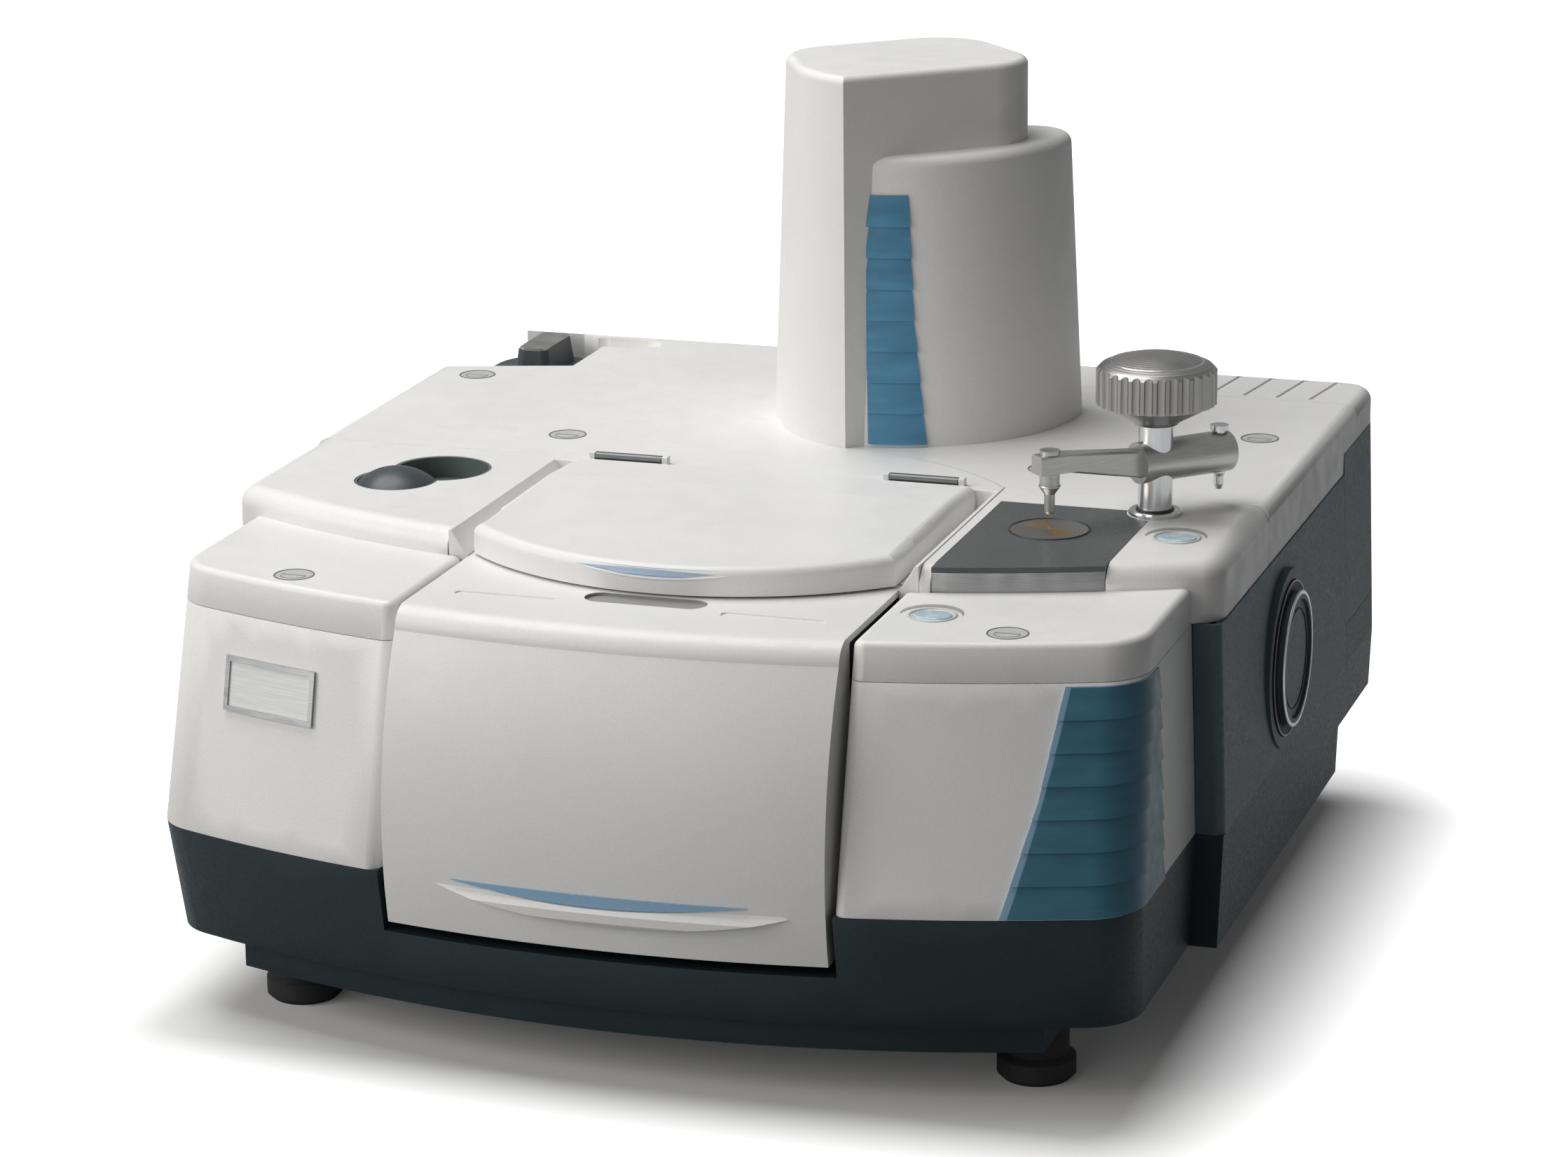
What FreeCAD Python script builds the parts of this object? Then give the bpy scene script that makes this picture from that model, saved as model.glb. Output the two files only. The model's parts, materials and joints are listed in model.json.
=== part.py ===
import FreeCAD, Part

import math
import os

import Sketcher

# Benchtop infrared spectrometer with a beamsplitter tower and a built-in press station.
# Millimetres. X to the right, Y to the back, Z up from the bench. The origin is the centre of the footprint.
# Every front surface turns about one vertical line behind the instrument, called the bow axis here.

Vector = FreeCAD.Vector
doc = FreeCAD.newDocument("infrared_spectrometer")
sheet = doc.addObject("Spreadsheet::Sheet", "Sizes")
sub_parts = {}
TINY = 0.01


class Size:
    """A dimension: its value, and the expression that ties it to the sheet."""

    def __init__(self, number, text):
        self.number = float(number)
        self.text = text

    def __add__(self, other):
        other = plain(other)
        return Size(self.number + other.number, f"({self.text} + {other.text})")

    def __sub__(self, other):
        other = plain(other)
        return Size(self.number - other.number, f"({self.text} - {other.text})")

    def __mul__(self, other):
        other = plain(other)
        return Size(self.number * other.number, f"({self.text} * {other.text})")

    def __truediv__(self, other):
        other = plain(other)
        return Size(self.number / other.number, f"({self.text} / {other.text})")

    def __radd__(self, other):
        return plain(other) + self

    def __rsub__(self, other):
        return plain(other) - self

    def __rmul__(self, other):
        return plain(other) * self

    def __neg__(self):
        return Size(-self.number, f"(0 - {self.text})")


def plain(value):
    """A bare number as a Size."""
    return value if isinstance(value, Size) else Size(value, f"({value!r})")


def number(value):
    return plain(value).number


def root(value):
    return Size(math.sqrt(value.number), f"sqrt({value.text})")


def sine(angle):
    angle = plain(angle)
    return Size(math.sin(math.radians(angle.number)), f"sin({angle.text})")


def cosine(angle):
    angle = plain(angle)
    return Size(math.cos(math.radians(angle.number)), f"cos({angle.text})")


def size(alias, value):
    """One driving dimension: a row of the sheet with its own name."""
    size.row += 1
    sheet.set(f"A{size.row}", alias)
    sheet.set(f"B{size.row}", repr(value))
    sheet.setAlias(f"B{size.row}", alias)
    return Size(value, f"Sizes.{alias}")


size.row = 0


def tie(thing, path, value):
    """Sets a property, and keeps it tied to the sheet where the value comes from there."""
    value = plain(value)
    if not path.startswith("."):
        setattr(thing, path, value.number)
    if "Sizes." in value.text:
        thing.setExpression(path, value.text)


def place(thing, x=0.0, y=0.0, z=0.0, turn=0.0):
    """Stands a piece at its own place, turned about the vertical."""
    spot = Vector(number(x), number(y), number(z))
    thing.Placement = FreeCAD.Placement(spot, FreeCAD.Rotation(Vector(0, 0, 1), number(turn)))
    tie(thing, ".Placement.Base.x", x)
    tie(thing, ".Placement.Base.y", y)
    tie(thing, ".Placement.Base.z", z)
    tie(thing, ".Placement.Rotation.Angle", turn)
    return thing


# Outlines. A loop lists corners (x, y), or (x, y, radius) where an arc leads to the corner: a positive radius
# turns left, a negative one right. A loop with one entry is a circle: (x, y, radius).


def circle(x, y, radius):
    return [(x, y, radius)]


def rectangle(left, front, right, back):
    return [(left, front), (right, front), (right, back), (left, back)]


def rounded(left, front, right, back, radius):
    """A rectangle with four equal round corners."""
    return [
        (left + radius, front, radius),
        (right - radius, front),
        (right, front + radius, radius),
        (right, back - radius),
        (right - radius, back, radius),
        (left + radius, back),
        (left, back - radius, radius),
        (left, front + radius),
    ]


def oval(x, y, reach, radius):
    """A slot outline: two half circles, drawn as quarters, and two straight sides."""
    return [
        (x - reach, y - radius, radius),
        (x + reach, y - radius),
        (x + reach + radius, y, radius),
        (x + reach, y + radius, radius),
        (x - reach, y + radius),
        (x - reach - radius, y, radius),
    ]


def mirrored(loop):
    """The same outline on the other side of the middle plane."""
    turned = []
    for index in range(len(loop)):
        corner = loop[-index]
        arrival = loop[(1 - index) % len(loop)]
        turned.append((-plain(corner[0]), corner[1]) + tuple(arrival[2:]))
    return turned


def on_side(side, loop):
    return loop if side > 0 else mirrored(loop)


def arc_centre(start, stop, radius):
    """Centre of the arc that leads from one point to the next."""
    run = stop - start
    half = run.Length / 2
    rise = math.sqrt(max(radius * radius - half * half, 0.0))
    left = Vector(-run.y, run.x, 0).normalize()
    return (start + stop) / 2 + left * math.copysign(rise, radius)


def edges_of(loop):
    """The plane geometry of a loop: lines, arcs or one circle, each with its radius."""
    points = [Vector(number(corner[0]), number(corner[1]), 0) for corner in loop]
    if len(loop) == 1:
        return [(Part.Circle(points[0], Vector(0, 0, 1), number(loop[0][2])), None)]
    made = []
    for index, start in enumerate(points):
        target = loop[(index + 1) % len(loop)]
        stop = points[(index + 1) % len(loop)]
        if len(target) == 2:
            made.append((Part.LineSegment(start, stop), None))
            continue
        radius = number(target[2])
        centre = arc_centre(start, stop, radius)
        first, last = (start, stop) if radius > 0 else (stop, start)
        angles = [math.atan2(point.y - centre.y, point.x - centre.x) for point in (first, last)]
        if angles[1] < angles[0]:
            angles[1] += 2 * math.pi
        whole = Part.Circle(centre, Vector(0, 0, 1), abs(radius))
        made.append((Part.ArcOfCircle(whole, angles[0], angles[1]), target[2]))
    return made


def wire_at(loop, level):
    """A loop as a wire at one level."""
    wire = Part.Wire(Part.__sortEdges__([shape.toShape() for shape, _ in edges_of(loop)]))
    wire.translate(Vector(0, 0, number(level)))
    return wire


def hold(sketch, kind, *where):
    """One dimension of a sketch, tied to the sheet."""
    value = plain(where[-1])
    index = sketch.addConstraint(Sketcher.Constraint(kind, *where[:-1], value.number))
    if "Sizes." in value.text:
        sketch.setExpression(f"Constraints[{index}]", value.text)


def draw(sketch, loop):
    """Draws a loop and fixes each of its corners."""
    first = sketch.GeometryCount
    shapes = edges_of(loop)
    for shape, _ in shapes:
        sketch.addGeometry(shape, False)
    if len(loop) == 1:
        hold(sketch, "DistanceX", -1, 1, first, 3, loop[0][0])
        hold(sketch, "DistanceY", -1, 1, first, 3, loop[0][1])
        hold(sketch, "Radius", first, loop[0][2])
        return
    count = len(loop)
    ends = [(1, 2) if radius is None or number(radius) > 0 else (2, 1) for _, radius in shapes]
    for index in range(count):
        following = (index + 1) % count
        joint = (first + index, ends[index][1], first + following, ends[following][0])
        sketch.addConstraint(Sketcher.Constraint("Coincident", *joint))
    for index, corner in enumerate(loop):
        hold(sketch, "DistanceX", -1, 1, first + index, ends[index][0], corner[0])
        hold(sketch, "DistanceY", -1, 1, first + index, ends[index][0], corner[1])
    for index, (_, radius) in enumerate(shapes):
        if radius is not None:
            radius = plain(radius)
            hold(sketch, "Radius", first + index, radius if radius.number > 0 else -radius)


def new_body(name):
    return doc.addObject("PartDesign::Body", name)


def new_sketch(body, plane, loops, level=0.0, shift=0.0):
    """A sketch on an origin plane of its body, moved along the normal by level and sideways by shift."""
    made = body.newObject("Sketcher::SketchObject", f"{body.Name}_sketch")
    support = [face for face in body.Origin.OriginFeatures if face.Role == f"{plane}_Plane"]
    made.AttachmentSupport = (support[0], [""])
    made.MapMode = "FlatFace"
    offset = Vector(number(shift), 0, number(level))
    made.AttachmentOffset = FreeCAD.Placement(offset, FreeCAD.Rotation())
    tie(made, ".AttachmentOffset.Base.x", shift)
    tie(made, ".AttachmentOffset.Base.z", level)
    for loop in loops:
        draw(made, loop)
    return made


def volume(thing):
    return 0.0 if thing.Shape.isNull() else thing.Shape.Volume


def renew(body, made):
    """Works out one feature, what it stands on and the body that holds it."""
    made.recompute(True)
    body.recompute()


def feature(body, kind, cuts, **settings):
    """Adds one feature to a body, and checks that it adds or removes material as it should."""
    before = volume(body)
    made = body.newObject(f"PartDesign::{kind}", f"{body.Name}_{kind.lower()}")
    for name, value in settings.items():
        if isinstance(value, (Size, float)):
            tie(made, name, value)
        else:
            setattr(made, name, value)
    renew(body, made)
    change = volume(body) - before
    if (change > -TINY) if cuts else (change < TINY):
        raise RuntimeError(f"{made.Name} changed the volume by {change:.3f}")
    return made


def pad(body, loops, level, length, plane="XY", back=False):
    sketch = new_sketch(body, plane, loops, level)
    return feature(body, "Pad", False, Profile=sketch, Length=plain(length), Reversed=back)


def pocket(body, loops, level, length, plane="XY", ahead=False):
    """Cuts from a level against the plane's normal, or along it with ahead."""
    sketch = new_sketch(body, plane, loops, level)
    return feature(body, "Pocket", True, Profile=sketch, Length=plain(length), Reversed=ahead)


def loft(body, lower, low, upper, high, cuts=False):
    """A body between two outlines at two levels."""
    sketches = [new_sketch(body, "XY", [upper], high), new_sketch(body, "XY", [lower], low)]
    kind = "SubtractiveLoft" if cuts else "AdditiveLoft"
    made = feature(body, kind, cuts, Profile=sketches[0], Sections=sketches[1:], Ruled=True)
    if not made.isValid():
        raise RuntimeError(f"{made.Name} is not valid")
    return made


def turned(body, loop, angle=360.0, shift=0.0, cuts=False, plane="XZ"):
    """Turns a profile about the upright line of its sketch."""
    sketch = new_sketch(body, plane, [loop], 0.0, shift)
    kind = "Groove" if cuts else "Revolution"
    partial = number(angle) < 360
    settings = {"Profile": sketch, "ReferenceAxis": (sketch, ["V_Axis"]), "Angle": angle, "Midplane": partial}
    return feature(body, kind, cuts, **settings)


def soften(body, radius, chosen, kind="Fillet"):
    """Rounds or bevels the edges that a test picks."""
    base = body.Tip
    names = [f"Edge{index}" for index, edge in enumerate(base.Shape.Edges, 1) if chosen(edge)]
    if not names:
        raise RuntimeError(f"{body.Name} has no edge to soften")
    before = volume(body)
    made = body.newObject(f"PartDesign::{kind}", f"{body.Name}_{kind.lower()}")
    made.Base = (base, names)
    tie(made, "Radius" if kind == "Fillet" else "Size", radius)
    renew(body, made)
    if not made.isValid() or not TINY < volume(body) < before:
        raise RuntimeError(f"{made.Name} did not soften {len(names)} edges")
    return made


def level_edge(level, also=lambda point: True):
    """Picks edges that lie at one level and pass a test at both ends."""
    def chosen(edge):
        points = [vertex.Point for vertex in edge.Vertexes]
        return all(abs(point.z - number(level)) < TINY and also(point) for point in points)
    return chosen


def combine(kind, name, base, tool):
    made = doc.addObject(f"Part::{kind}", name)
    made.Base = base
    made.Tool = tool
    return made


def fuse(name, pieces):
    made = doc.addObject("Part::MultiFuse", name)
    made.Shapes = pieces
    return made


def group(name, pieces):
    """Several like pieces that share one node."""
    made = doc.addObject("Part::Compound", name)
    made.Links = pieces
    return made


def finish(name, thing):
    """Names a sub-part as its file will be named."""
    thing.Label = name
    sub_parts[name] = thing
    return thing


# Driving dimensions of the outer body.
bow_axis_y = size("bow_axis_y", 462.0)
bow_radius = size("bow_radius", 799.0)
bow_lean = size("bow_lean", 0.255)
step_radius = size("step_radius", 660.0)
rear_y = size("rear_y", 336.5)
body_half = size("body_half", 315.0)
body_lean = size("body_lean", 0.032)
column_half = size("column_half", 298.0)
column_lean = size("column_lean", 0.03)
step_y = size("step_y", -128.0)
rear_corner = size("rear_corner", 20.0)
column_corner = size("column_corner", 35.0)
inner_corner = size("inner_corner", 7.0)
wall = size("wall", 4.0)
seam = size("seam", 0.4)
running_gap = size("running_gap", 0.05)
free_gap = size("free_gap", 0.3)

# Levels above the bench.
foot_height = size("foot_height", 33.0)
base_bottom = size("base_bottom", 51.0)
base_floor = size("base_floor", 6.0)
undercut_level = size("undercut_level", 82.0)
base_top = size("base_top", 121.0)
base_rear_top = size("base_rear_top", 147.0)
cover_level = size("cover_level", 249.0)
rear_seam_level = size("rear_seam_level", 262.0)
cap_top = size("cap_top", 270.5)
deck_top = size("deck_top", 285.5)
tower_height = size("tower_height", 236.5)
shell_height = size("shell_height", 184.5)

# Plan positions.
undercut_y = size("undercut_y", 218.0)
panel_seam_y = size("panel_seam_y", 231.0)
module_back_y = size("module_back_y", 5.0)
strip_seam_y = size("strip_seam_y", 271.0)
door_half = size("door_half", 133.0)
door_gap = size("door_gap", 4.0)
frame_half = size("frame_half", 145.5)
cover_half_inset = size("cover_half_inset", 4.7)
cover_half = body_half - cover_half_inset
frame_arc_y = size("frame_arc_y", -116.0)
frame_arc_radius = size("frame_arc_radius", 188.0)
cover_skin = size("cover_skin", 5.5)


def bow(level):
    """Radius of the bowed front at one level."""
    return bow_radius - bow_lean * (level - base_top)


def body_side(level):
    return body_half - body_lean * (level - base_top)


def column_side(level):
    return column_half - column_lean * (level - base_top)


def circle_back(radius, x):
    """How far in front of its centre a circle passes at one X."""
    return root(radius * radius - x * x)


def bow_y(radius, x):
    return bow_axis_y - circle_back(radius, x)


def corner_on_bow(radius, side, fillet):
    """Where a corner arc leaves the bow, and the level line where it meets the straight side."""
    reach = radius - fillet
    inner = side - fillet
    depth = circle_back(reach, inner)
    leave = (inner * radius / reach, bow_axis_y - depth * radius / reach)
    return leave, bow_axis_y - depth


# Base tray: a moulding with a notch for the door, a raised rear edge, a plinth below and bosses for the feet.
base_wall = size("base_wall", 6.0)
base_bow_lean = size("base_bow_lean", 0.214)
base_side_lean = size("base_side_lean", 0.043)
sill_back_y = size("sill_back_y", -276.0)
plinth_half_inset = size("plinth_half_inset", 69.0)
plinth_half = body_half - plinth_half_inset
plinth_inset = size("plinth_inset", 9.0)
plinth_back_y = size("plinth_back_y", 212.0)
foot_inset = size("foot_inset", 86.0)
foot_x = body_half - foot_inset
foot_front_y = size("foot_front_y", -226.0)
foot_rear_y = size("foot_rear_y", 186.0)
boss_radius = size("boss_radius", 21.0)


def base_loop(level, inset=0.0, rear=rear_y, round_rear=rear_corner):
    """Plan of the base at one level, counted from the front left corner."""
    below = base_top - level
    radius = bow_radius - base_bow_lean * below - inset
    front_side = column_half - base_side_lean * below - inset
    rear_side = body_half - base_side_lean * below - inset
    corner = column_corner - inset
    back = rear - inset
    bend = round_rear - inset
    leave, side_y = corner_on_bow(radius, front_side, corner)
    step = step_y + inset
    return [
        (-leave[0], leave[1], corner),
        (leave[0], leave[1], radius),
        (front_side, side_y, corner),
        (front_side, step),
        (rear_side, step),
        (rear_side, back - bend),
        (rear_side - bend, back, bend),
        (-rear_side + bend, back),
        (-rear_side, back - bend, bend),
        (-rear_side, step),
        (-front_side, step),
        (-front_side, side_y),
    ]


def base_hollow_loop(level, back):
    """Inside of the base at one level, leaving the sill behind the door notch solid."""
    outer = base_loop(level, base_wall)
    radius = outer[1][2]
    sill_half = door_half + door_gap + base_wall
    sill_front = bow_y(radius, sill_half)
    sill_y = sill_back_y + base_wall
    side = outer[4][0]
    bend = rear_corner - base_wall
    return [
        (-sill_half, sill_y),
        (sill_half, sill_y),
        (sill_half, sill_front),
        (outer[1][0], outer[1][1], radius),
        outer[2],
        outer[3],
        outer[4],
        (side, back - bend),
        (side - bend, back, bend),
        (-side + bend, back),
        (-side, back - bend, bend),
        outer[9],
        outer[10],
        outer[11],
        outer[0],
        (-sill_half, sill_front, radius),
    ]


def rim_loop(level, thick, front):
    """A moulding that wraps both rear corners: a wide U in plan."""
    side = body_side(level)
    inner = side - thick
    back = rear_y - thick
    bend_y = rear_y - rear_corner
    bend_x = side - rear_corner
    inner_bend = rear_corner - thick
    return [
        (inner, front),
        (side, front),
        (side, bend_y),
        (bend_x, rear_y, rear_corner),
        (-bend_x, rear_y),
        (-side, bend_y, rear_corner),
        (-side, front),
        (-inner, front),
        (-inner, bend_y),
        (-bend_x, back, -inner_bend),
        (bend_x, back),
        (inner, bend_y, -inner_bend),
    ]


def build_base():
    body = new_body("base_tray")
    loft(body, base_loop(base_bottom), base_bottom, base_loop(base_top), base_top)
    floor = base_bottom + base_floor
    step_floor = undercut_level + base_floor
    full_back = rear_y - base_wall
    loft(body, base_hollow_loop(step_floor, full_back), step_floor,
         base_hollow_loop(base_top, full_back), base_top, cuts=True)
    front_back = undercut_y - base_wall
    loft(body, base_hollow_loop(floor, front_back), floor,
         base_hollow_loop(step_floor, front_back), step_floor, cuts=True)
    wide = body_half + base_wall
    pocket(body, [rectangle(-wide, undercut_y, wide, rear_y + base_wall)], undercut_level, undercut_level)
    loft(body, rim_loop(base_top, base_wall, panel_seam_y), base_top,
         rim_loop(base_rear_top, base_wall, panel_seam_y), base_rear_top)
    notch = door_half + door_gap
    front = bow_axis_y - bow_radius - base_wall
    pocket(body, [rectangle(-notch, front, notch, sill_back_y)], base_top, base_top - undercut_level)
    plinth_radius = bow_radius - base_bow_lean * (base_top - base_bottom) - plinth_inset
    corner_y = bow_y(plinth_radius, plinth_half)
    plinth = [(-plinth_half, corner_y), (plinth_half, corner_y, plinth_radius),
              (plinth_half, plinth_back_y), (-plinth_half, plinth_back_y)]
    plinth_height = base_bottom - foot_height
    pad(body, [plinth], base_bottom, plinth_height, back=True)
    inner_half = plinth_half - base_wall
    inner_radius = plinth_radius - base_wall
    inner_y = bow_y(inner_radius, inner_half)
    inner = [(-inner_half, inner_y), (inner_half, inner_y, inner_radius),
             (inner_half, plinth_back_y - base_wall), (-inner_half, plinth_back_y - base_wall)]
    pocket(body, [inner], foot_height, plinth_height, ahead=True)
    bosses = [circle(side * foot_x, y, boss_radius) for side in (1, -1) for y in (foot_front_y, foot_rear_y)]
    pad(body, bosses, base_bottom, plinth_height, back=True)
    finish("base_tray", body)


build_base()


# Four rubber feet, each with a wider tread and a narrower neck.
foot_radius = size("foot_radius", 23.0)
foot_neck = size("foot_neck", 19.0)
tread_height = size("tread_height", 13.0)
foot_bevel = size("foot_bevel", 3.0)


def build_feet():
    feet = []
    for depth, y in (("front", foot_front_y), ("rear", foot_rear_y)):
        for name, side in (("left", -1), ("right", 1)):
            body = new_body(f"foot_{depth}_{name}")
            turned(body, [
                (0.0, 0.0), (foot_radius - foot_bevel, 0.0), (foot_radius, foot_bevel),
                (foot_radius, tread_height), (foot_neck, tread_height + foot_bevel),
                (foot_neck, foot_height), (0.0, foot_height),
            ])
            feet.append(place(body, side * foot_x, y))
    finish("rubber_feet", group("rubber_feet", feet))


build_feet()


# The two front columns are bowed shells, open behind and below, and each has a cap of its own.
cap_edge = size("cap_edge", 4.5)


def column_loop(level, side, inset=0.0, open_back=0.0):
    """Plan of a column at one level. Its front lies on the bow, its back on the step circle."""
    radius = bow(level) - inset
    outer = column_side(level) - inset
    inner = door_half + door_gap + inset
    back = step_radius + inset - open_back
    corner = column_corner - inset
    small = inner_corner
    leave, side_y = corner_on_bow(radius, outer, corner)
    reach = radius - small
    depth = circle_back(reach, inner + small)
    loop = [
        (inner, bow_y(back, inner), -back),
        (inner, bow_axis_y - depth),
        ((inner + small) * radius / reach, bow_axis_y - depth * radius / reach, small),
        (leave[0], leave[1], radius),
        (outer, side_y, corner),
        (outer, bow_y(back, outer)),
    ]
    return on_side(side, loop)


def column_block(name, side, low, high, inset=0.0, open_back=0.0):
    body = new_body(name)
    loft(body, column_loop(low, side, inset, open_back), low, column_loop(high, side, inset, open_back), high)
    return body


def build_columns():
    for name, side in (("left", -1), ("right", 1)):
        outer = column_block(f"{name}_column_outer", side, base_top, cover_level - seam)
        inner = column_block(f"{name}_column_inner", side, base_top - wall, cover_level - wall, wall, wall * 8)
        finish(f"{name}_column", combine("Cut", f"{name}_column", outer, inner))


build_columns()


# Quarter turn fasteners: one flush slotted disc in each cover.
fastener_radius = size("fastener_radius", 11.5)
fastener_height = size("fastener_height", 2.6)
slot_width = size("slot_width", 2.4)
slot_length = size("slot_length", 15.0)
slot_depth = size("slot_depth", 1.2)
cap_fastener_x = size("cap_fastener_x", 216.5)
cap_fastener_y = size("cap_fastener_y", -247.0)
front_fastener_x = size("front_fastener_x", 158.5)
front_fastener_y = size("front_fastener_y", 56.5)
left_fastener_inset = size("left_fastener_inset", 35.3)
left_fastener_x = left_fastener_inset - cover_half
left_fastener_y = size("left_fastener_y", 195.0)
right_fastener_inset = size("right_fastener_inset", 41.8)
right_fastener_x = cover_half - right_fastener_inset
right_fastener_y = size("right_fastener_y", 167.0)
cover_fastener_spots = [
    (-front_fastener_x, front_fastener_y), (front_fastener_x, front_fastener_y),
    (left_fastener_x, left_fastener_y), (right_fastener_x, right_fastener_y),
]
cap_fastener_spots = [(-cap_fastener_x, cap_fastener_y), (cap_fastener_x, cap_fastener_y)]


def fastener_holes(spots):
    return [circle(x, y, fastener_radius + seam) for x, y in spots]


def build_fasteners():
    pieces = []
    spots = [(x, y, deck_top) for x, y in cover_fastener_spots] + [(x, y, cap_top) for x, y in cap_fastener_spots]
    for index, (x, y, top) in enumerate(spots):
        body = new_body(f"fastener_{index}")
        pad(body, [circle(0.0, 0.0, fastener_radius)], 0.0, fastener_height)
        half = slot_length / 2
        pocket(body, [rectangle(-half, -slot_width / 2, half, slot_width / 2)], fastener_height, slot_depth)
        pieces.append(place(body, x, y, top - fastener_height))
    finish("cover_fasteners", group("cover_fasteners", pieces))


build_fasteners()


# Push buttons: an oval key in a recess, which travels on its spring.
button_reach = size("button_reach", 3.5)
button_radius = size("button_radius", 8.0)
button_recess = size("button_recess", 3.2)
button_travel = size("button_travel", 1.5)
button_proud = size("button_proud", 0.8)
cap_button_x = size("cap_button_x", 166.2)
cap_button_y = size("cap_button_y", -224.5)
atr_button_inset = size("atr_button_inset", 37.3)
atr_button_x = cover_half - atr_button_inset
atr_button_y = size("atr_button_y", -78.6)


def button_hole(x, y):
    return oval(x, y, button_reach, button_radius + free_gap)


def build_buttons():
    for label, x, y, top in (("cap_button", cap_button_x, cap_button_y, cap_top),
                             ("atr_button", atr_button_x, atr_button_y, deck_top)):
        body = new_body(label)
        under = button_travel + free_gap / 2 - button_recess
        pad(body, [oval(0.0, 0.0, button_reach, button_radius)], under, button_proud - under)
        soften(body, button_proud, level_edge(button_proud))
        finish(label, place(body, x, y, top))


build_buttons()


def edge_middle(edge):
    return edge.valueAt((edge.FirstParameter + edge.LastParameter) / 2)


def cap_rim(edge):
    """The top edges of a cap, apart from its back edge and the holes in it."""
    middle = edge_middle(edge)
    from_axis = math.hypot(middle.x, middle.y - bow_axis_y.number)
    spots = cap_fastener_spots + [(cap_button_x, cap_button_y)]
    clear = min(math.hypot(middle.x - number(x), middle.y - number(y)) for x, y in spots)
    outside = abs(from_axis - step_radius.number) > TINY
    return level_edge(cap_top)(edge) and outside and clear > fastener_radius.number * 1.2


def build_caps():
    for name, side in (("left", -1), ("right", 1)):
        outer = column_block(f"{name}_cap_outer", side, cover_level, cap_top)
        spot = cap_fastener_spots[0 if side < 0 else 1]
        pocket(outer, fastener_holes([spot]), cap_top, fastener_height)
        if side > 0:
            pocket(outer, [button_hole(cap_button_x, cap_button_y)], cap_top, button_recess)
        soften(outer, cap_edge, cap_rim)
        inner = column_block(f"{name}_cap_inner", side, cover_level - wall, cap_top - cover_skin, wall)
        finish(f"{name}_column_cap", combine("Cut", f"{name}_column_cap", outer, inner))


build_caps()


# Badge on the left column: a metal frame with a bare plate in it, turned to face along the bow.
badge_width = size("badge_width", 64.0)
badge_height = size("badge_height", 31.0)
badge_rim = size("badge_rim", 3.0)
badge_depth = size("badge_depth", 2.2)
badge_x = size("badge_x", -219.0)
badge_level = size("badge_level", 210.0)


def front_skin(name, low, high, under, over):
    """A thin layer that follows the bowed front: under and over count outward from the column face."""
    body = new_body(name)
    turned(body, [
        (-(bow(low) + under), low), (-(bow(low) + over), low),
        (-(bow(high) + over), high), (-(bow(high) + under), high),
    ], 60.0, bow_axis_y, plane="YZ")
    return body


ahead_y = bow_axis_y - bow_radius - wall * 12
behind_y = bow_axis_y - step_radius + wall * 5


def front_prism(name, loops):
    """A prism along Y through the whole front, from a front view outline."""
    body = new_body(name)
    pad(body, loops, -behind_y, behind_y - ahead_y, plane="XZ")
    return body


def build_badge():
    half = badge_width / 2
    rise = badge_height / 2
    margin = badge_height
    low = badge_level - margin
    high = badge_level + margin
    outline = rectangle(badge_x - half, badge_level - rise, badge_x + half, badge_level + rise)
    window = rectangle(badge_x - half + badge_rim, badge_level - rise + badge_rim,
                       badge_x + half - badge_rim, badge_level + rise - badge_rim)
    frame = combine("Common", "badge_frame", front_skin("badge_frame_skin", low, high, free_gap, badge_depth),
                    front_prism("badge_frame_prism", [outline, window]))
    finish("badge_frame", frame)
    plate = combine("Common", "badge_plate", front_skin("badge_plate_skin", low, high, free_gap, badge_depth / 2),
                    front_prism("badge_plate_prism", [window]))
    finish("badge_plate", plate)


build_badge()


# Corner accent: shingled ribs that wrap the outer corner of the right column.
rib_count = 7
accent_low = size("accent_low", 122.0)
accent_high = size("accent_high", 247.0)
accent_proud = size("accent_proud", 2.2)
accent_thin = size("accent_thin", 0.8)
accent_top_x = size("accent_top_x", 254.0)
accent_middle_x = size("accent_middle_x", 244.0)
accent_bottom_x = size("accent_bottom_x", 228.0)
accent_end_y = size("accent_end_y", -211.0)


def shingles(count, low, high, outline):
    """A stack of ribs, each thicker at its lower edge: outline gives the plan at a level and a thickness."""
    ribs = []
    pitch = (number(high) - number(low)) / count
    for index in range(count):
        bottom = plain(number(low) + index * pitch)
        top = plain(number(low) + (index + 1) * pitch)
        lower = wire_at(outline(bottom, accent_proud.number), bottom)
        upper = wire_at(outline(top, accent_thin.number), top)
        ribs.append(Part.makeLoft([lower, upper], True, True))
    return ribs[0].multiFuse(ribs[1:])


def front_mask(corners, front, back):
    """A prism along Y over a front view outline."""
    points = [Vector(number(x), number(front), number(z)) for x, z in corners]
    face = Part.Face(Part.makePolygon(points + points[:1]))
    return face.extrude(Vector(0, number(back) - number(front), 0))


def solid_feature(name, shape):
    made = doc.addObject("Part::Feature", name)
    made.Shape = shape
    made.Placement = FreeCAD.Placement()
    return made


def build_corner_accent():
    ribs = shingles(rib_count, accent_low, accent_high,
                    lambda level, proud: column_loop(level, 1, plain(-proud)))
    far = column_half + column_corner
    middle = (accent_low + accent_high) / 2
    mask = front_mask([(accent_bottom_x, accent_low), (far, accent_low), (far, accent_high),
                       (accent_top_x, accent_high), (accent_middle_x, middle)], ahead_y, accent_end_y)
    column = doc.getObject("right_column_outer").Shape
    finish("corner_accent", solid_feature("corner_accent", ribs.common(mask).cut(column)))


build_corner_accent()


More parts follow.
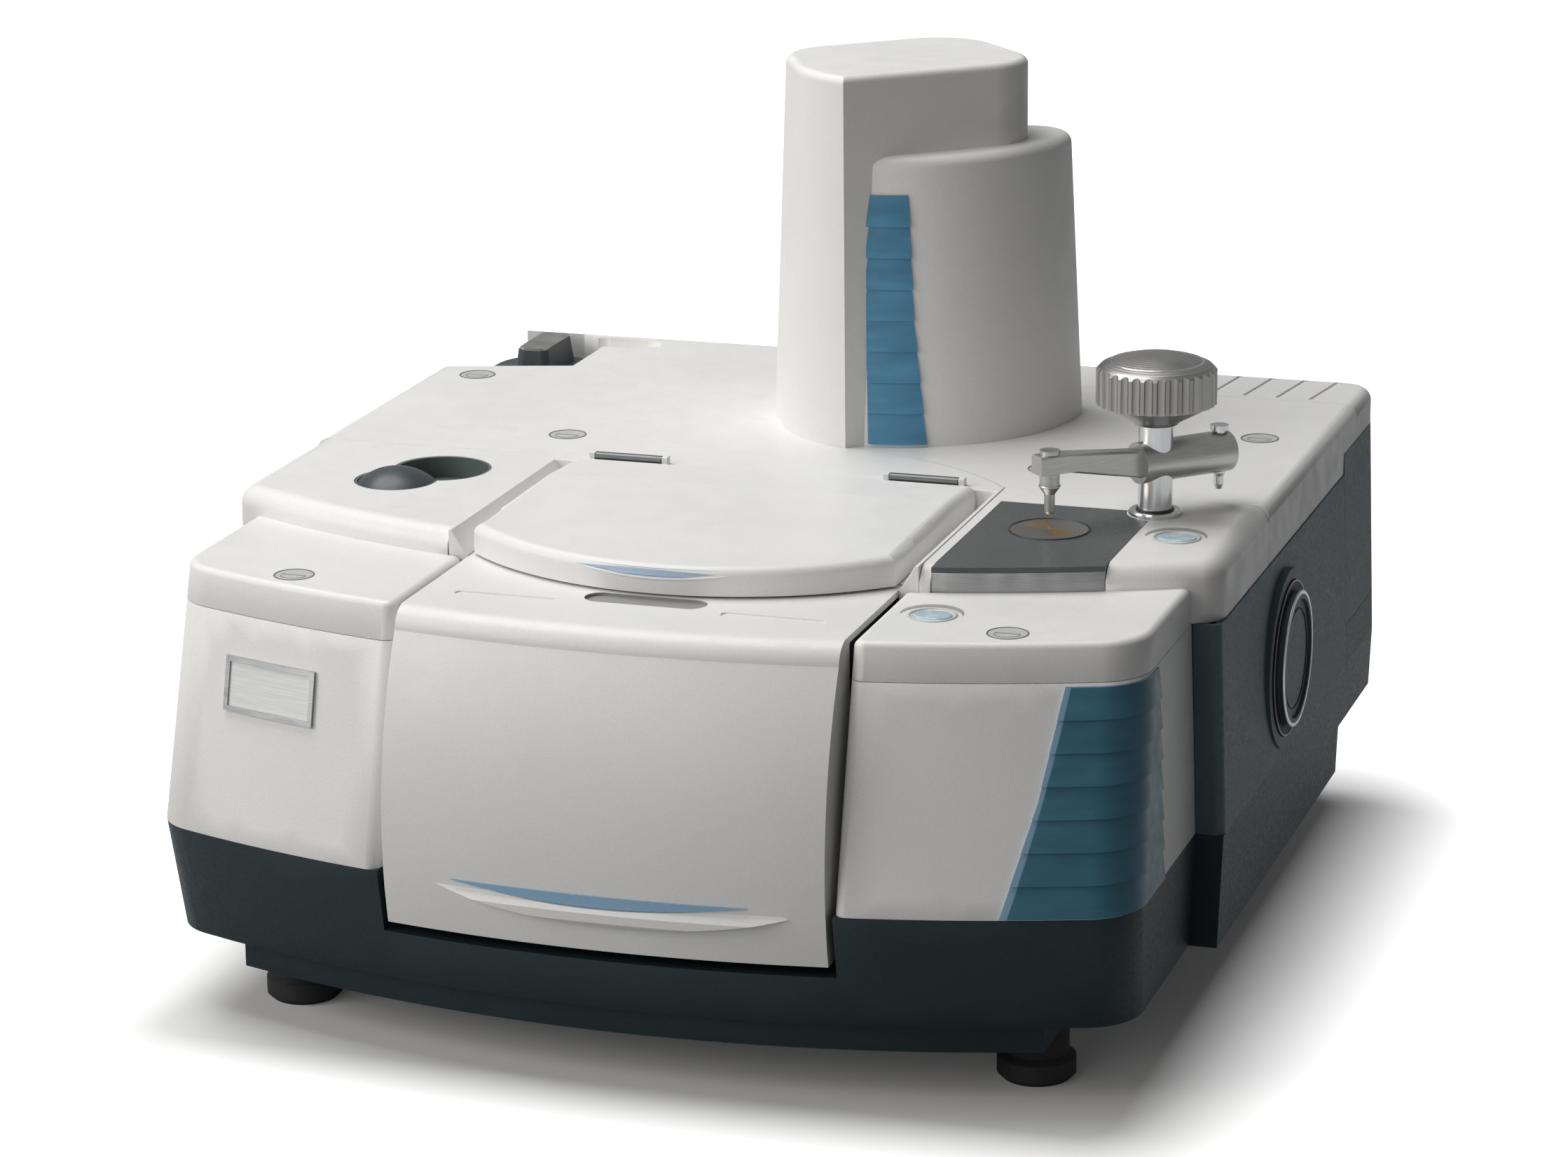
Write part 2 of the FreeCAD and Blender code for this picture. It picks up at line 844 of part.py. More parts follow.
# Side panels with the front step, and the rear panel that wraps both rear corners.
panel_corner = size("panel_corner", 6.0)
port_y = size("port_y", 44.0)
port_level = size("port_level", 180.0)
port_ring_radius = size("port_ring_radius", 48.5)
port_cap_radius = size("port_cap_radius", 41.0)
port_bezel_width = size("port_bezel_width", 7.0)
port_bezel_proud = size("port_bezel_proud", 2.9)
port_ring_proud = size("port_ring_proud", 3.9)
port_cap_proud = size("port_cap_proud", 8.8)
port_bezel_x = body_side(port_level) + port_bezel_proud
port_ring_x = body_side(port_level) + port_ring_proud
port_cap_x = body_side(port_level) + port_cap_proud
port_depth = size("port_depth", 9.0)


def panel_loop(level, side):
    outer = body_side(level)
    front = column_side(level) + seam
    loop = [
        (front, step_y),
        (outer - panel_corner, step_y),
        (outer, step_y + panel_corner, panel_corner),
        (outer, panel_seam_y - seam),
        (outer - wall, panel_seam_y - seam),
        (outer - wall, step_y + wall),
        (front, step_y + wall),
    ]
    return on_side(side, loop)


def build_side_panels():
    for name, side in (("left", -1), ("right", 1)):
        label = f"side_panel_{name}"
        body = new_body(label)
        top = cover_level - seam
        loft(body, panel_loop(base_top, side), base_top, panel_loop(top, side), top)
        wide = body_half + wall
        if side > 0:
            hole = port_ring_radius + free_gap
            bezel = circle(port_y, port_level, hole + port_bezel_width)
            inner_x = body_side(port_level) - wall
            pad(body, [bezel], inner_x, port_bezel_x - inner_x, plane="YZ")
            pocket(body, [circle(port_y, port_level, hole)], wide, wide - inner_x + wall, plane="YZ")
        finish(label, body)


build_side_panels()


def build_port():
    inner_x = body_side(port_level) - port_depth
    ring = new_body("port_ring")
    pad(ring, [circle(port_y, port_level, port_ring_radius)], inner_x, port_ring_x - inner_x, plane="YZ")
    hole = port_cap_radius + free_gap
    pocket(ring, [circle(port_y, port_level, hole)], port_ring_x, port_ring_x - inner_x, plane="YZ")
    finish("port_ring", ring)
    cap = new_body("port_cap")
    pad(cap, [circle(port_y, port_level, port_cap_radius)], inner_x, port_cap_x - inner_x, plane="YZ")
    dish = port_cap_radius - wall
    pocket(cap, [circle(port_y, port_level, dish)], port_cap_x, wall / 2, plane="YZ")
    soften(cap, 1.2, lambda edge: all(abs(vertex.X - port_cap_x.number) < TINY for vertex in edge.Vertexes)
           and edge.Curve.Radius > dish.number + TINY)
    finish("port_cap", cap)


build_port()


# Rear panel. Its connectors stand in a sunken pan: power inlet, rocker switch, data sockets and purge bulkheads.
pan_half = size("pan_half", 262.0)
pan_low = size("pan_low", 156.0)
pan_high = size("pan_high", 226.0)
pan_thick = size("pan_thick", 2.5)
inlet_inset = size("inlet_inset", 105.0)
inlet_x = inlet_inset - body_half
inlet_level = size("inlet_level", 190.0)
inlet_width = size("inlet_width", 76.0)
inlet_height = size("inlet_height", 32.0)
inlet_depth = size("inlet_depth", 24.0)
inlet_proud = size("inlet_proud", 1.5)
rocker_width = size("rocker_width", 19.4)
rocker_half = size("rocker_half", 11.0)
rocker_pin_radius = size("rocker_pin_radius", 2.0)
socket_pitch = size("socket_pitch", 42.0)
socket_x = size("socket_x", -90.0)
bulkhead_inset = size("bulkhead_inset", 80.0)
bulkhead_x = body_half - bulkhead_inset
bulkhead_radius = size("bulkhead_radius", 9.0)


def inlet_outline():
    half = inlet_width / 2
    rise = inlet_height / 2
    return rectangle(inlet_x - half, inlet_level - rise, inlet_x + half, inlet_level + rise)


def socket_outlines():
    made = []
    for index in range(3):
        x = socket_x + index * socket_pitch
        made.append(rectangle(x - 8.0, inlet_level - 6.0, x + 8.0, inlet_level + 6.0))
    return made


def bulkhead_outlines():
    return [circle(bulkhead_x + offset, inlet_level, bulkhead_radius) for offset in (0.0, -socket_pitch)]


def build_rear_panel():
    body = new_body("rear_panel")
    low = base_rear_top + seam
    top = rear_seam_level
    front = panel_seam_y
    loft(body, rim_loop(low, wall, front), low, rim_loop(top, wall, front), top)
    pocket(body, [rectangle(-pan_half, pan_low, pan_half, pan_high)], -(rear_y + wall), wall * 3,
           plane="XZ", ahead=True)
    return body


def build_connector_pan():
    """Floor and four walls of the pan, each a plate of its own."""
    side = pan_half - free_gap
    low = pan_low + free_gap
    high = pan_high - free_gap
    back = new_body("pan_floor")
    pad(back, [rectangle(-side, low, side, high)], -(rear_y - inlet_depth), pan_thick, plane="XZ")
    plates = [back]
    edges = (
        ("pan_low_wall", rectangle(-side, low, side, low + pan_thick)),
        ("pan_high_wall", rectangle(-side, high - pan_thick, side, high)),
        ("pan_left_wall", rectangle(-side, low + pan_thick, pan_thick - side, high - pan_thick)),
        ("pan_right_wall", rectangle(side - pan_thick, low + pan_thick, side, high - pan_thick)),
    )
    for name, outline in edges:
        plate = new_body(name)
        pad(plate, [outline], -(rear_y - free_gap), inlet_depth - free_gap, plane="XZ")
        plates.append(plate)
    finish("connector_pan", group("connector_pan", plates))


def rear_block(name, loops, deep, proud):
    """A piece that stands on the pan's floor and reaches past the panel's face."""
    body = new_body(name)
    pad(body, loops, -(rear_y + proud), deep + proud, plane="XZ")
    return body


def build_rear_fittings():
    inlet = rear_block("power_inlet", [inlet_outline()], inlet_depth, inlet_proud)
    face = -(rear_y + inlet_proud)
    left = inlet_x - inlet_width / 4
    pocket(inlet, [rectangle(left - 13.0, inlet_level - 10.0, left + 13.0, inlet_level + 10.0)],
           face, inlet_depth - wall, plane="XZ", ahead=True)
    right = inlet_x + inlet_width / 4
    half = rocker_width / 2 + free_gap
    rise = rocker_half + free_gap * 8
    pocket(inlet, [rectangle(right - half, inlet_level - rise, right + half, inlet_level + rise)],
           face, inlet_depth - wall, plane="XZ", ahead=True)
    finish("power_inlet", inlet)
    rocker = new_body("power_switch")
    pivot_y = rear_y - 7.0
    pad(rocker, [[(pivot_y - 7.0, inlet_level - 8.0), (pivot_y + 7.0, inlet_level - rocker_half),
                  (pivot_y + 5.5, inlet_level), (pivot_y + 9.5, inlet_level + rocker_half),
                  (pivot_y - 7.0, inlet_level + 8.0)]],
        right - rocker_width / 2, rocker_width, plane="YZ")
    pad(rocker, [circle(pivot_y, inlet_level, rocker_pin_radius)], right - half, half * 2, plane="YZ")
    finish("power_switch", rocker)
    sockets = []
    for index, outline in enumerate(socket_outlines()):
        piece = rear_block(f"socket_{index}", [outline], inlet_depth, 0.5)
        x = socket_x + index * socket_pitch
        pocket(piece, [rectangle(x - 6.0, inlet_level - 4.0, x + 6.0, inlet_level + 4.0)],
               -(rear_y + 0.5), 12.0, plane="XZ", ahead=True)
        sockets.append(piece)
    finish("data_sockets", group("data_sockets", sockets))
    bulkheads = []
    for index, outline in enumerate(bulkhead_outlines()):
        piece = rear_block(f"bulkhead_{index}", [outline], inlet_depth, 2.0)
        pocket(piece, [circle(outline[0][0], inlet_level, 3.5)], -(rear_y + 2.0), 12.0, plane="XZ", ahead=True)
        bulkheads.append(piece)
    finish("purge_bulkheads", group("purge_bulkheads", bulkheads))


finish("rear_panel", build_rear_panel())
build_connector_pan()
build_rear_fittings()


# Rear cover, with a bay cut out of its rear left corner, and the strip behind it.
side_edge = size("side_edge", 8.0)
bay_front_y = size("bay_front_y", 211.0)
bay_inner_y = size("bay_inner_y", 237.0)
bay_inset = size("bay_inset", 88.3)
bay_x = bay_inset - cover_half
bay_circle_inset = size("bay_circle_inset", 47.3)
bay_circle_x = bay_circle_inset - cover_half
bay_circle_y = size("bay_circle_y", 291.0)
bay_circle_radius = size("bay_circle_radius", 41.0)
bay_lip_y = size("bay_lip_y", 329.2)
bay_floor_level = size("bay_floor_level", 261.0)
rib_pitch = size("rib_pitch", 22.0)


def side_top_edge(edge):
    """Straight top edges along the outer sides."""
    def outside(point):
        return abs(abs(point.x) - cover_half.number) < TINY
    return level_edge(deck_top, outside)(edge)


def build_rear_cover():
    body = new_body("rear_cover")
    front = module_back_y + seam
    arc = frame_arc_radius + seam
    meet = circle_back(arc, front - frame_arc_y)
    outline = [
        (-cover_half, front), (-meet, front), (meet, front, -arc), (cover_half, front),
        (cover_half, strip_seam_y), (bay_x, strip_seam_y), (bay_x, bay_inner_y), (-cover_half, bay_front_y),
    ]
    pad(body, [outline], cover_level, deck_top - cover_level)
    inner_arc = arc + wall
    inner_front = front + wall
    inner_meet = circle_back(inner_arc, inner_front - frame_arc_y)
    inner_half = cover_half - wall
    slope = (bay_inner_y - bay_front_y) / (cover_half + bay_x)
    drop = wall * 1.1
    hollow = [
        (-inner_half, inner_front), (-inner_meet, inner_front), (inner_meet, inner_front, -inner_arc),
        (inner_half, inner_front), (inner_half, strip_seam_y - wall), (bay_x + wall, strip_seam_y - wall),
        (bay_x + wall, bay_inner_y + slope * wall - drop), (-inner_half, bay_front_y + slope * wall - drop),
    ]
    pocket(body, [hollow], cover_level, deck_top - cover_skin - cover_level, ahead=True)
    wide = cover_half + wall
    pocket(body, [rectangle(-wide, panel_seam_y - seam, wide, strip_seam_y + wall)],
           rear_seam_level + seam, rear_seam_level - cover_level + wall)
    pocket(body, fastener_holes(cover_fastener_spots), deck_top, fastener_height)
    soften(body, side_edge, side_top_edge)
    finish("rear_cover", body)


def build_rear_strip():
    body = new_body("rear_strip")
    front = strip_seam_y + seam
    low = rear_seam_level + seam
    bend = rear_corner
    lip_x = bay_circle_x + circle_back(bay_circle_radius, bay_lip_y - bay_circle_y)
    outline = [
        (bay_x, front), (cover_half, front), (cover_half, rear_y - bend), (cover_half - bend, rear_y, bend),
        (-cover_half + bend, rear_y), (-cover_half + bend, bay_lip_y), (lip_x, bay_lip_y),
        (bay_x, bay_circle_y, -bay_circle_radius),
    ]
    pad(body, [outline], low, deck_top - low)
    soften(body, side_edge, side_top_edge)
    scoop = oval(bay_x + 10.0, (front + rear_y) / 2 + 6.0, 14.0, 13.0)
    pocket(body, [scoop], deck_top, 7.0)
    grooves = []
    for index in range(5):
        x = cover_half - 34.0 - index * rib_pitch
        grooves.append([(x, front + 6.0), (x + 5.0, front + 6.0), (x + 13.0, rear_y - 6.0), (x + 8.0, rear_y - 6.0)])
    pocket(body, grooves, deck_top, 1.2)
    hollow = rectangle(bay_x + 42.0, front + wall, cover_half - wall - bend, rear_y - wall)
    pocket(body, [hollow], low, deck_top - cover_skin - low, ahead=True)
    finish("rear_strip", body)


build_rear_cover()
build_rear_strip()


# Latch at the rear left: a bay floor, a round flange, and a grip with a top plate that turn as one.
latch_flange_radius = size("latch_flange_radius", 37.5)
latch_flange_top = size("latch_flange_top", 270.0)
latch_grip_width = size("latch_grip_width", 26.0)
latch_grip_length = size("latch_grip_length", 56.0)
latch_grip_top = size("latch_grip_top", 288.5)
latch_plate_thick = size("latch_plate_thick", 1.5)


def build_latch():
    bay = new_body("latch_bay")
    side = body_side(rear_seam_level) - wall - free_gap
    slope = (bay_inner_y - bay_front_y) / (cover_half + bay_x)
    front = bay_front_y + seam * 2 + (cover_half - side) * slope
    pad(bay, [[(-side, front), (bay_x, bay_inner_y + seam), (bay_x, rear_y - wall - free_gap),
               (-side + rear_corner, rear_y - wall - free_gap), (-side, rear_y - wall - rear_corner)]],
        bay_floor_level - wall, wall)
    pocket(bay, [circle(bay_circle_x, bay_circle_y, 6.0 + running_gap)], bay_floor_level, wall)
    finish("latch_bay", bay)
    flange = new_body("latch_flange")
    low = bay_floor_level + free_gap / 3
    turned(flange, [
        (0.0, bay_floor_level - wall), (6.0, bay_floor_level - wall), (6.0, low), (latch_flange_radius, low),
        (latch_flange_radius, latch_flange_top - 3.0), (latch_flange_radius - 3.0, latch_flange_top),
        (0.0, latch_flange_top),
    ])
    place(flange, bay_circle_x, bay_circle_y)
    grip = new_body("latch_grip")
    half = latch_grip_width / 2
    reach = latch_grip_length / 2
    plate_low = latch_grip_top - latch_plate_thick
    lower = rounded(-half, -reach, half, reach, 6.0)
    upper = rounded(-half + 2.0, -reach + 2.0, half - 2.0, reach - 2.0, 6.0)
    loft(grip, lower, latch_flange_top, upper, plate_low)
    place(grip, bay_circle_x, bay_circle_y)
    finish("latch_handle", fuse("latch_handle", [flange, grip]))
    plate = new_body("latch_plate")
    pad(plate, [rounded(-half + 3.0, -reach + 3.0, half - 3.0, reach - 3.0, 5.0)], plate_low, latch_plate_thick)
    finish("latch_plate", place(plate, bay_circle_x, bay_circle_y))


build_latch()


# Middle modules: left one over the dewar, right one round the press station.
module_corner = size("module_corner", 20.0)
module_edge = size("module_edge", 12.0)
pan_inset = size("pan_inset", 106.3)
pan_x = pan_inset - cover_half
pan_y = size("pan_y", -45.0)
pan_radius = size("pan_radius", 29.0)
dome_inset = size("dome_inset", 89.3)
dome_x = dome_inset - cover_half
dome_y = size("dome_y", -79.0)
dome_radius = size("dome_radius", 24.0)
dome_rise = size("dome_rise", 8.0)
liner_wall = size("liner_wall", 1.5)
liner_floor_level = size("liner_floor_level", 272.0)


def module_loop(side, inset=0.0):
    outer = cover_half - inset
    inner = frame_half + seam + inset
    radius = step_radius - inset
    corner = module_corner - inset
    leave, side_y = corner_on_bow(radius, outer, corner)
    loop = [
        (inner, module_back_y - inset), (inner, bow_y(radius, inner)), (leave[0], leave[1], radius),
        (outer, side_y, corner), (outer, module_back_y - inset),
    ]
    return on_side(side, loop)


def module_rim(edge):
    """Front, corner and side top edges of a module."""
    middle = edge_middle(edge)
    if not level_edge(deck_top)(edge):
        return False
    off_front = abs(math.hypot(middle.x, middle.y - bow_axis_y.number) - step_radius.number)
    _, side_y = corner_on_bow(step_radius, cover_half, module_corner)
    on_corner = math.hypot(abs(middle.x) - (cover_half - module_corner).number, middle.y - side_y.number)
    on_outside = abs(abs(middle.x) - cover_half.number) < TINY
    return off_front < TINY or on_outside or abs(on_corner - module_corner.number) < TINY


def module_block(name, side):
    body = new_body(name)
    pad(body, [module_loop(side)], cover_level, deck_top - cover_level)
    return body


def hollow_module(body, side):
    pocket(body, [module_loop(side, wall)], cover_level, deck_top - cover_skin - cover_level, ahead=True)


def cylinder(name, x, y, low, radius, tall):
    made = doc.addObject("Part::Cylinder", name)
    tie(made, "Radius", radius)
    tie(made, "Height", tall)
    return place(made, x, y, low)


def build_dewar_cover():
    body = module_block("dewar_cover", -1)
    hollow_module(body, -1)
    for x, y, radius in ((pan_x, pan_y, pan_radius), (dome_x, dome_y, dome_radius)):
        pocket(body, [circle(x, y, radius + liner_wall + seam)], deck_top, cover_skin + 1.0)
    soften(body, module_edge, module_rim)
    finish("dewar_cover", body)
    low = liner_floor_level - liner_wall
    tall = deck_top - seam - low
    outer = fuse("keyhole_liner_outer", [
        cylinder("keyhole_pan_outer", pan_x, pan_y, low, pan_radius + liner_wall, tall),
        cylinder("keyhole_dome_outer", dome_x, dome_y, low, dome_radius + liner_wall, tall),
    ])
    inner = fuse("keyhole_liner_inner", [
        cylinder("keyhole_pan_inner", pan_x, pan_y, liner_floor_level, pan_radius, tall),
        cylinder("keyhole_dome_inner", dome_x, dome_y, liner_floor_level, dome_radius, tall),
    ])
    finish("keyhole_liner", combine("Cut", "keyhole_liner", outer, inner))
    cap = new_body("access_cap")
    radius = dome_radius - free_gap
    crown = deck_top + dome_rise
    shoulder = deck_top - 1.0
    rise = crown - shoulder
    dome = (radius * radius + rise * rise) / (rise * 2)
    turned(cap, [(0.0, liner_floor_level), (radius, liner_floor_level), (radius, shoulder), (0.0, crown, dome)])
    slit = rectangle(-radius, -1.0, -radius / 3, 1.0)
    pocket(cap, [slit], crown, rise)
    finish("access_cap", place(cap, dome_x, dome_y))


build_dewar_cover()


# Press station: a deck with a dark plate and a crystal, and a post that carries the press arm and its knob.
deck_left_inset = size("deck_left_inset", 158.3)
deck_left_x = cover_half - deck_left_inset
deck_right_inset = size("deck_right_inset", 62.3)
deck_right_x = cover_half - deck_right_inset
deck_back_y = size("deck_back_y", -26.0)
deck_low = size("deck_low", 256.0)
plate_thick = size("plate_thick", 3.0)
post_inset = size("post_inset", 62.7)
post_x = cover_half - post_inset
post_y = size("post_y", -28.0)
post_radius = size("post_radius", 10.3)
collar_radius = size("collar_radius", 16.0)
collar_height = size("collar_height", 2.6)
spigot_radius = size("spigot_radius", 6.0)
knob_low = size("knob_low", 341.0)
crystal_inset = size("crystal_inset", 113.9)
crystal_x = cover_half - crystal_inset
crystal_y = size("crystal_y", -81.0)
crystal_radius = size("crystal_radius", 24.0)
arm_level = size("arm_level", 318.0)
barrel_radius = size("barrel_radius", 12.5)
barrel_back = size("barrel_back", 52.0)
barrel_front = size("barrel_front", 13.0)
pin_reach = size("pin_reach", 45.0)
tip_level = size("tip_level", 295.3)
tip_radius = size("tip_radius", 3.2)
nozzle_radius = size("nozzle_radius", 6.0)
arm_end_low = size("arm_end_low", 320.0)
arm_end_high = size("arm_end_high", 331.5)
knob_radius = size("knob_radius", 36.0)
knob_flutes = 30


def deck_loop(clear=0.0):
    """Plan of the deck: bowed front edge, and a corner cut round the collar."""
    around = collar_radius + 0.8 + clear
    left = deck_left_x + clear
    right = deck_right_x - clear
    back = deck_back_y - clear
    radius = step_radius - clear
    cut_y = post_y - circle_back(around, right - post_x)
    cut_x = post_x - circle_back(around, back - post_y)
    return [
        (left, bow_y(radius, left)), (right, bow_y(radius, right), radius), (right, cut_y),
        (cut_x, back, -around), (left, back),
    ]


def build_press_station():
    cover = module_block("atr_cover", 1)
    hollow_module(cover, 1)
    notch = deck_loop()
    front = step_y * 2
    notch = [(deck_left_x, front), (deck_right_x, front)] + notch[2:]
    pocket(cover, [notch], deck_top, deck_top - deck_low + seam)
    pocket(cover, [button_hole(atr_button_x, atr_button_y)], deck_top, button_recess)
    pocket(cover, [circle(post_x, post_y, spigot_radius + running_gap)], deck_top, cover_skin + 1.0)
    soften(cover, module_edge, module_rim)
    finish("atr_cover", cover)
    deck = new_body("atr_deck")
    pad(deck, [deck_loop(seam)], deck_low, deck_top - plate_thick - deck_low)
    finish("atr_deck", deck)
    plate = new_body("atr_top_plate")
    pad(plate, [deck_loop(seam)], deck_top - plate_thick, plate_thick)
    pocket(plate, [circle(crystal_x, crystal_y, crystal_radius + running_gap)], deck_top, plate_thick / 2)
    finish("atr_top_plate", plate)
    disc = new_body("crystal_disc")
    turned(disc, [(0.0, -plate_thick / 2), (crystal_radius, -plate_thick / 2), (crystal_radius, 0.2),
                  (4.0, 0.8), (0.0, 0.8)])
    finish("crystal_disc", place(disc, crystal_x, crystal_y, deck_top))


build_press_station()

arm_run_x = crystal_x - post_x
arm_run_y = crystal_y - post_y
arm_length = root(arm_run_x * arm_run_x + arm_run_y * arm_run_y)
arm_turn = math.degrees(math.atan2(number(arm_run_y), number(arm_run_x)))


def build_press_arm():
    post = new_body("arm_post")
    low = deck_top + free_gap / 3
    turned(post, [
        (0.0, deck_top - cover_skin), (spigot_radius, deck_top - cover_skin), (spigot_radius, low),
        (collar_radius, low), (collar_radius, low + collar_height - 1.0), (collar_radius - 1.0, low + collar_height),
        (post_radius, low + collar_height), (post_radius, knob_low - free_gap / 3),
        (spigot_radius, knob_low - free_gap / 3), (spigot_radius, knob_low + 8.0), (0.0, knob_low + 8.0),
    ])
    finish("arm_post", place(post, post_x, post_y))
    arm = new_body("press_arm")
    pad(arm, [circle(0.0, arm_level, barrel_radius)], -barrel_back, barrel_back + barrel_front, plane="YZ")
    soften(arm, 2.5, lambda edge: all(vertex.X < 0 for vertex in edge.Vertexes) and edge.Length > barrel_radius.number)
    half = (arm_end_high - arm_end_low) / 2
    beam = [(barrel_front - 4.0, arm_level - 9.0), (arm_length - 10.0, arm_end_low),
            (arm_length + 9.0, arm_end_low), (arm_length + 9.0, arm_end_high),
            (arm_length - 9.0, arm_end_high), (barrel_front - 4.0, arm_level + 8.0)]
    pad(arm, [beam], -half, half * 2, plane="XZ")
    soften(arm, 1.5, lambda edge: edge.Length > 30 and edge_middle(edge).x > barrel_front.number)
    pocket(arm, [circle(0.0, 0.0, post_radius + running_gap)], arm_level + barrel_radius * 2, barrel_radius * 4)
    pocket(arm, [circle(-pin_reach, 0.0, 3.9)], arm_level + barrel_radius * 2, barrel_radius * 4)
    pocket(arm, [circle(arm_length, 0.0, nozzle_radius - 2.0)], arm_end_high + 1.0, half * 2 + 2.0)
    finish("press_arm", place(arm, post_x, post_y, 0.0, arm_turn))
    tip = new_body("press_tip")
    stem = nozzle_radius - 2.0 - running_gap
    turned(tip, [
        (0.0, tip_level), (tip_radius - 1.0, tip_level), (tip_radius, tip_level + 1.5), (tip_radius, tip_level + 12.0),
        (nozzle_radius, tip_level + 16.0), (nozzle_radius, arm_end_low - running_gap),
        (stem, arm_end_low - running_gap), (stem, arm_end_high + running_gap),
        (nozzle_radius, arm_end_high + running_gap), (nozzle_radius, arm_end_high + 2.5), (0.0, arm_end_high + 2.5),
    ])
    finish("press_tip", place(tip, crystal_x, crystal_y))
    pin = new_body("hanging_pin")
    top = arm_level + barrel_radius
    turned(pin, [(0.0, 295.0), (2.0, 295.0), (3.0, 298.0), (3.0, 303.0), (3.85, 305.0), (3.85, top + 1.0),
                 (5.5, top + 1.0), (5.5, top + 4.0), (0.0, top + 4.0)])
    along = 0 - pin_reach / arm_length
    finish("hanging_pin", place(pin, post_x + arm_run_x * along, post_y + arm_run_y * along))


build_press_arm()


def build_knob():
    body = new_body("press_knob")
    side_low = 13.0
    side_high = 33.0
    rim = knob_radius - 3.0
    rise = 7.0
    dome = (rim * rim + rise * rise) / (rise * 2)
    turned(body, [
        (spigot_radius + running_gap, 0.0), (13.0, 0.0), (15.0, 2.0), (rim, side_low - 1.0),
        (knob_radius, side_low), (knob_radius, side_high), (rim, side_high + 3.0),
        (0.0, side_high + 3.0 + rise, dome), (0.0, 8.5), (spigot_radius + running_gap, 8.5),
    ])
    flute = pocket(body, [circle(knob_radius + 1.0, 0.0, 2.9)], side_high + 4.0, side_high - side_low + 5.0)
    rows = body.newObject("PartDesign::PolarPattern", "press_knob_flutes")
    rows.Originals = [flute]
    rows.Axis = (flute.Profile[0], ["N_Axis"])
    rows.Angle = 360
    rows.Occurrences = knob_flutes
    body.Tip = rows
    finish("press_knob", place(body, post_x, post_y, knob_low))


build_knob()


# Tower over the beamsplitter changer, drawn in its own frame: u along its flat front, v towards its back.
tower_x = size("tower_x", 23.2)
tower_y = size("tower_y", 70.5)
tower_turn = size("tower_turn", 42.3)
tower_front = size("tower_front", 107.0)
tower_width = size("tower_width", 142.0)
tower_front_bend = size("tower_front_bend", 35.0)
tower_depth = size("tower_depth", 124.0)
tower_back_bend = size("tower_back_bend", 40.0)
tower_left_bend = size("tower_left_bend", 38.0)
tower_left_bow = size("tower_left_bow", 90.0)
tower_bulge = size("tower_bulge", 6.0)
tower_draft = size("tower_draft", 7.0)
tower_edge = size("tower_edge", 5.0)
shell_centre_u = size("shell_centre_u", 87.0)
shell_centre_v = size("shell_centre_v", 92.0)
shell_radius = size("shell_radius", 118.0)
shell_end_radius = size("shell_end_radius", 30.0)
shell_end_angle = size("shell_end_angle", 42.0)
shell_draft = size("shell_draft", 6.0)
shell_edge = size("shell_edge", 7.0)
tower_rib_count = 8
tower_accent_low = size("tower_accent_low", 2.0)
tower_accent_high = size("tower_accent_high", 161.0)
tower_accent_foot = size("tower_accent_foot", 47.0)
tower_accent_waist = size("tower_accent_waist", 40.5)
tower_accent_head = size("tower_accent_head", 38.5)
tower_accent_left = size("tower_accent_left", 15.0)


def housing_loop(draft=0.0):
    left = -tower_bulge + draft
    back = tower_depth - draft
    return [
        (0.0, 0.0, tower_left_bow), (tower_front, 0.0), (tower_width, tower_front_bend, tower_front_bend),
        (tower_width, back - tower_back_bend), (tower_width - tower_back_bend, back, tower_back_bend),
        (left + tower_left_bend, back), (left, back - tower_left_bend, tower_left_bend),
    ]


def shell_loop(draft=0.0, offset=0.0, grow=0.0):
    """Plan of the front shell: a wide arc, a small end arc, and the housing's own outline behind."""
    radius = shell_radius - draft + offset
    small = shell_end_radius - draft / 3 + offset
    centre_u = shell_centre_u - draft / 2
    reach = radius - small
    end_u = centre_u + reach * cosine(shell_end_angle)
    end_v = shell_centre_v - reach * sine(shell_end_angle)
    leave_u = centre_u + radius * cosine(shell_end_angle)
    leave_v = shell_centre_v - radius * sine(shell_end_angle)
    front = -plain(grow)
    side = tower_width + grow
    start = centre_u - circle_back(radius, shell_centre_v - front)
    return [
        (start, front), (leave_u, leave_v, radius), (end_u, end_v + small, small), (side, end_v + small),
        (side, tower_front_bend), (tower_front, front, -(tower_front_bend + grow)),
    ]


def build_tower():
    housing = new_body("tower_rear_housing")
    loft(housing, housing_loop(), 0.0, housing_loop(tower_draft), tower_height)
    soften(housing, tower_edge, level_edge(tower_height))
    finish("tower_rear_housing", place(housing, tower_x, tower_y, deck_top, tower_turn))
    outer = new_body("tower_shell_outer")
    loft(outer, shell_loop(), 0.0, shell_loop(shell_draft), shell_height)
    front_edges = level_edge(shell_height)

    def outer_edge(edge):
        middle = edge_middle(edge)
        off_housing = middle.y < -TINY or middle.x > tower_width.number + TINY
        return front_edges(edge) and off_housing and edge.Length > tower_front_bend.number

    soften(outer, shell_edge, outer_edge)
    place(outer, tower_x, tower_y, deck_top, tower_turn)
    inner = new_body("tower_shell_inner")
    low = -wall
    high = shell_height - wall
    loft(inner, shell_loop(0.0, -wall, wall), low, shell_loop(shell_draft, -wall, wall), high)
    place(inner, tower_x, tower_y, deck_top, tower_turn)
    finish("tower_front_shell", combine("Cut", "tower_front_shell", outer, inner))


build_tower()


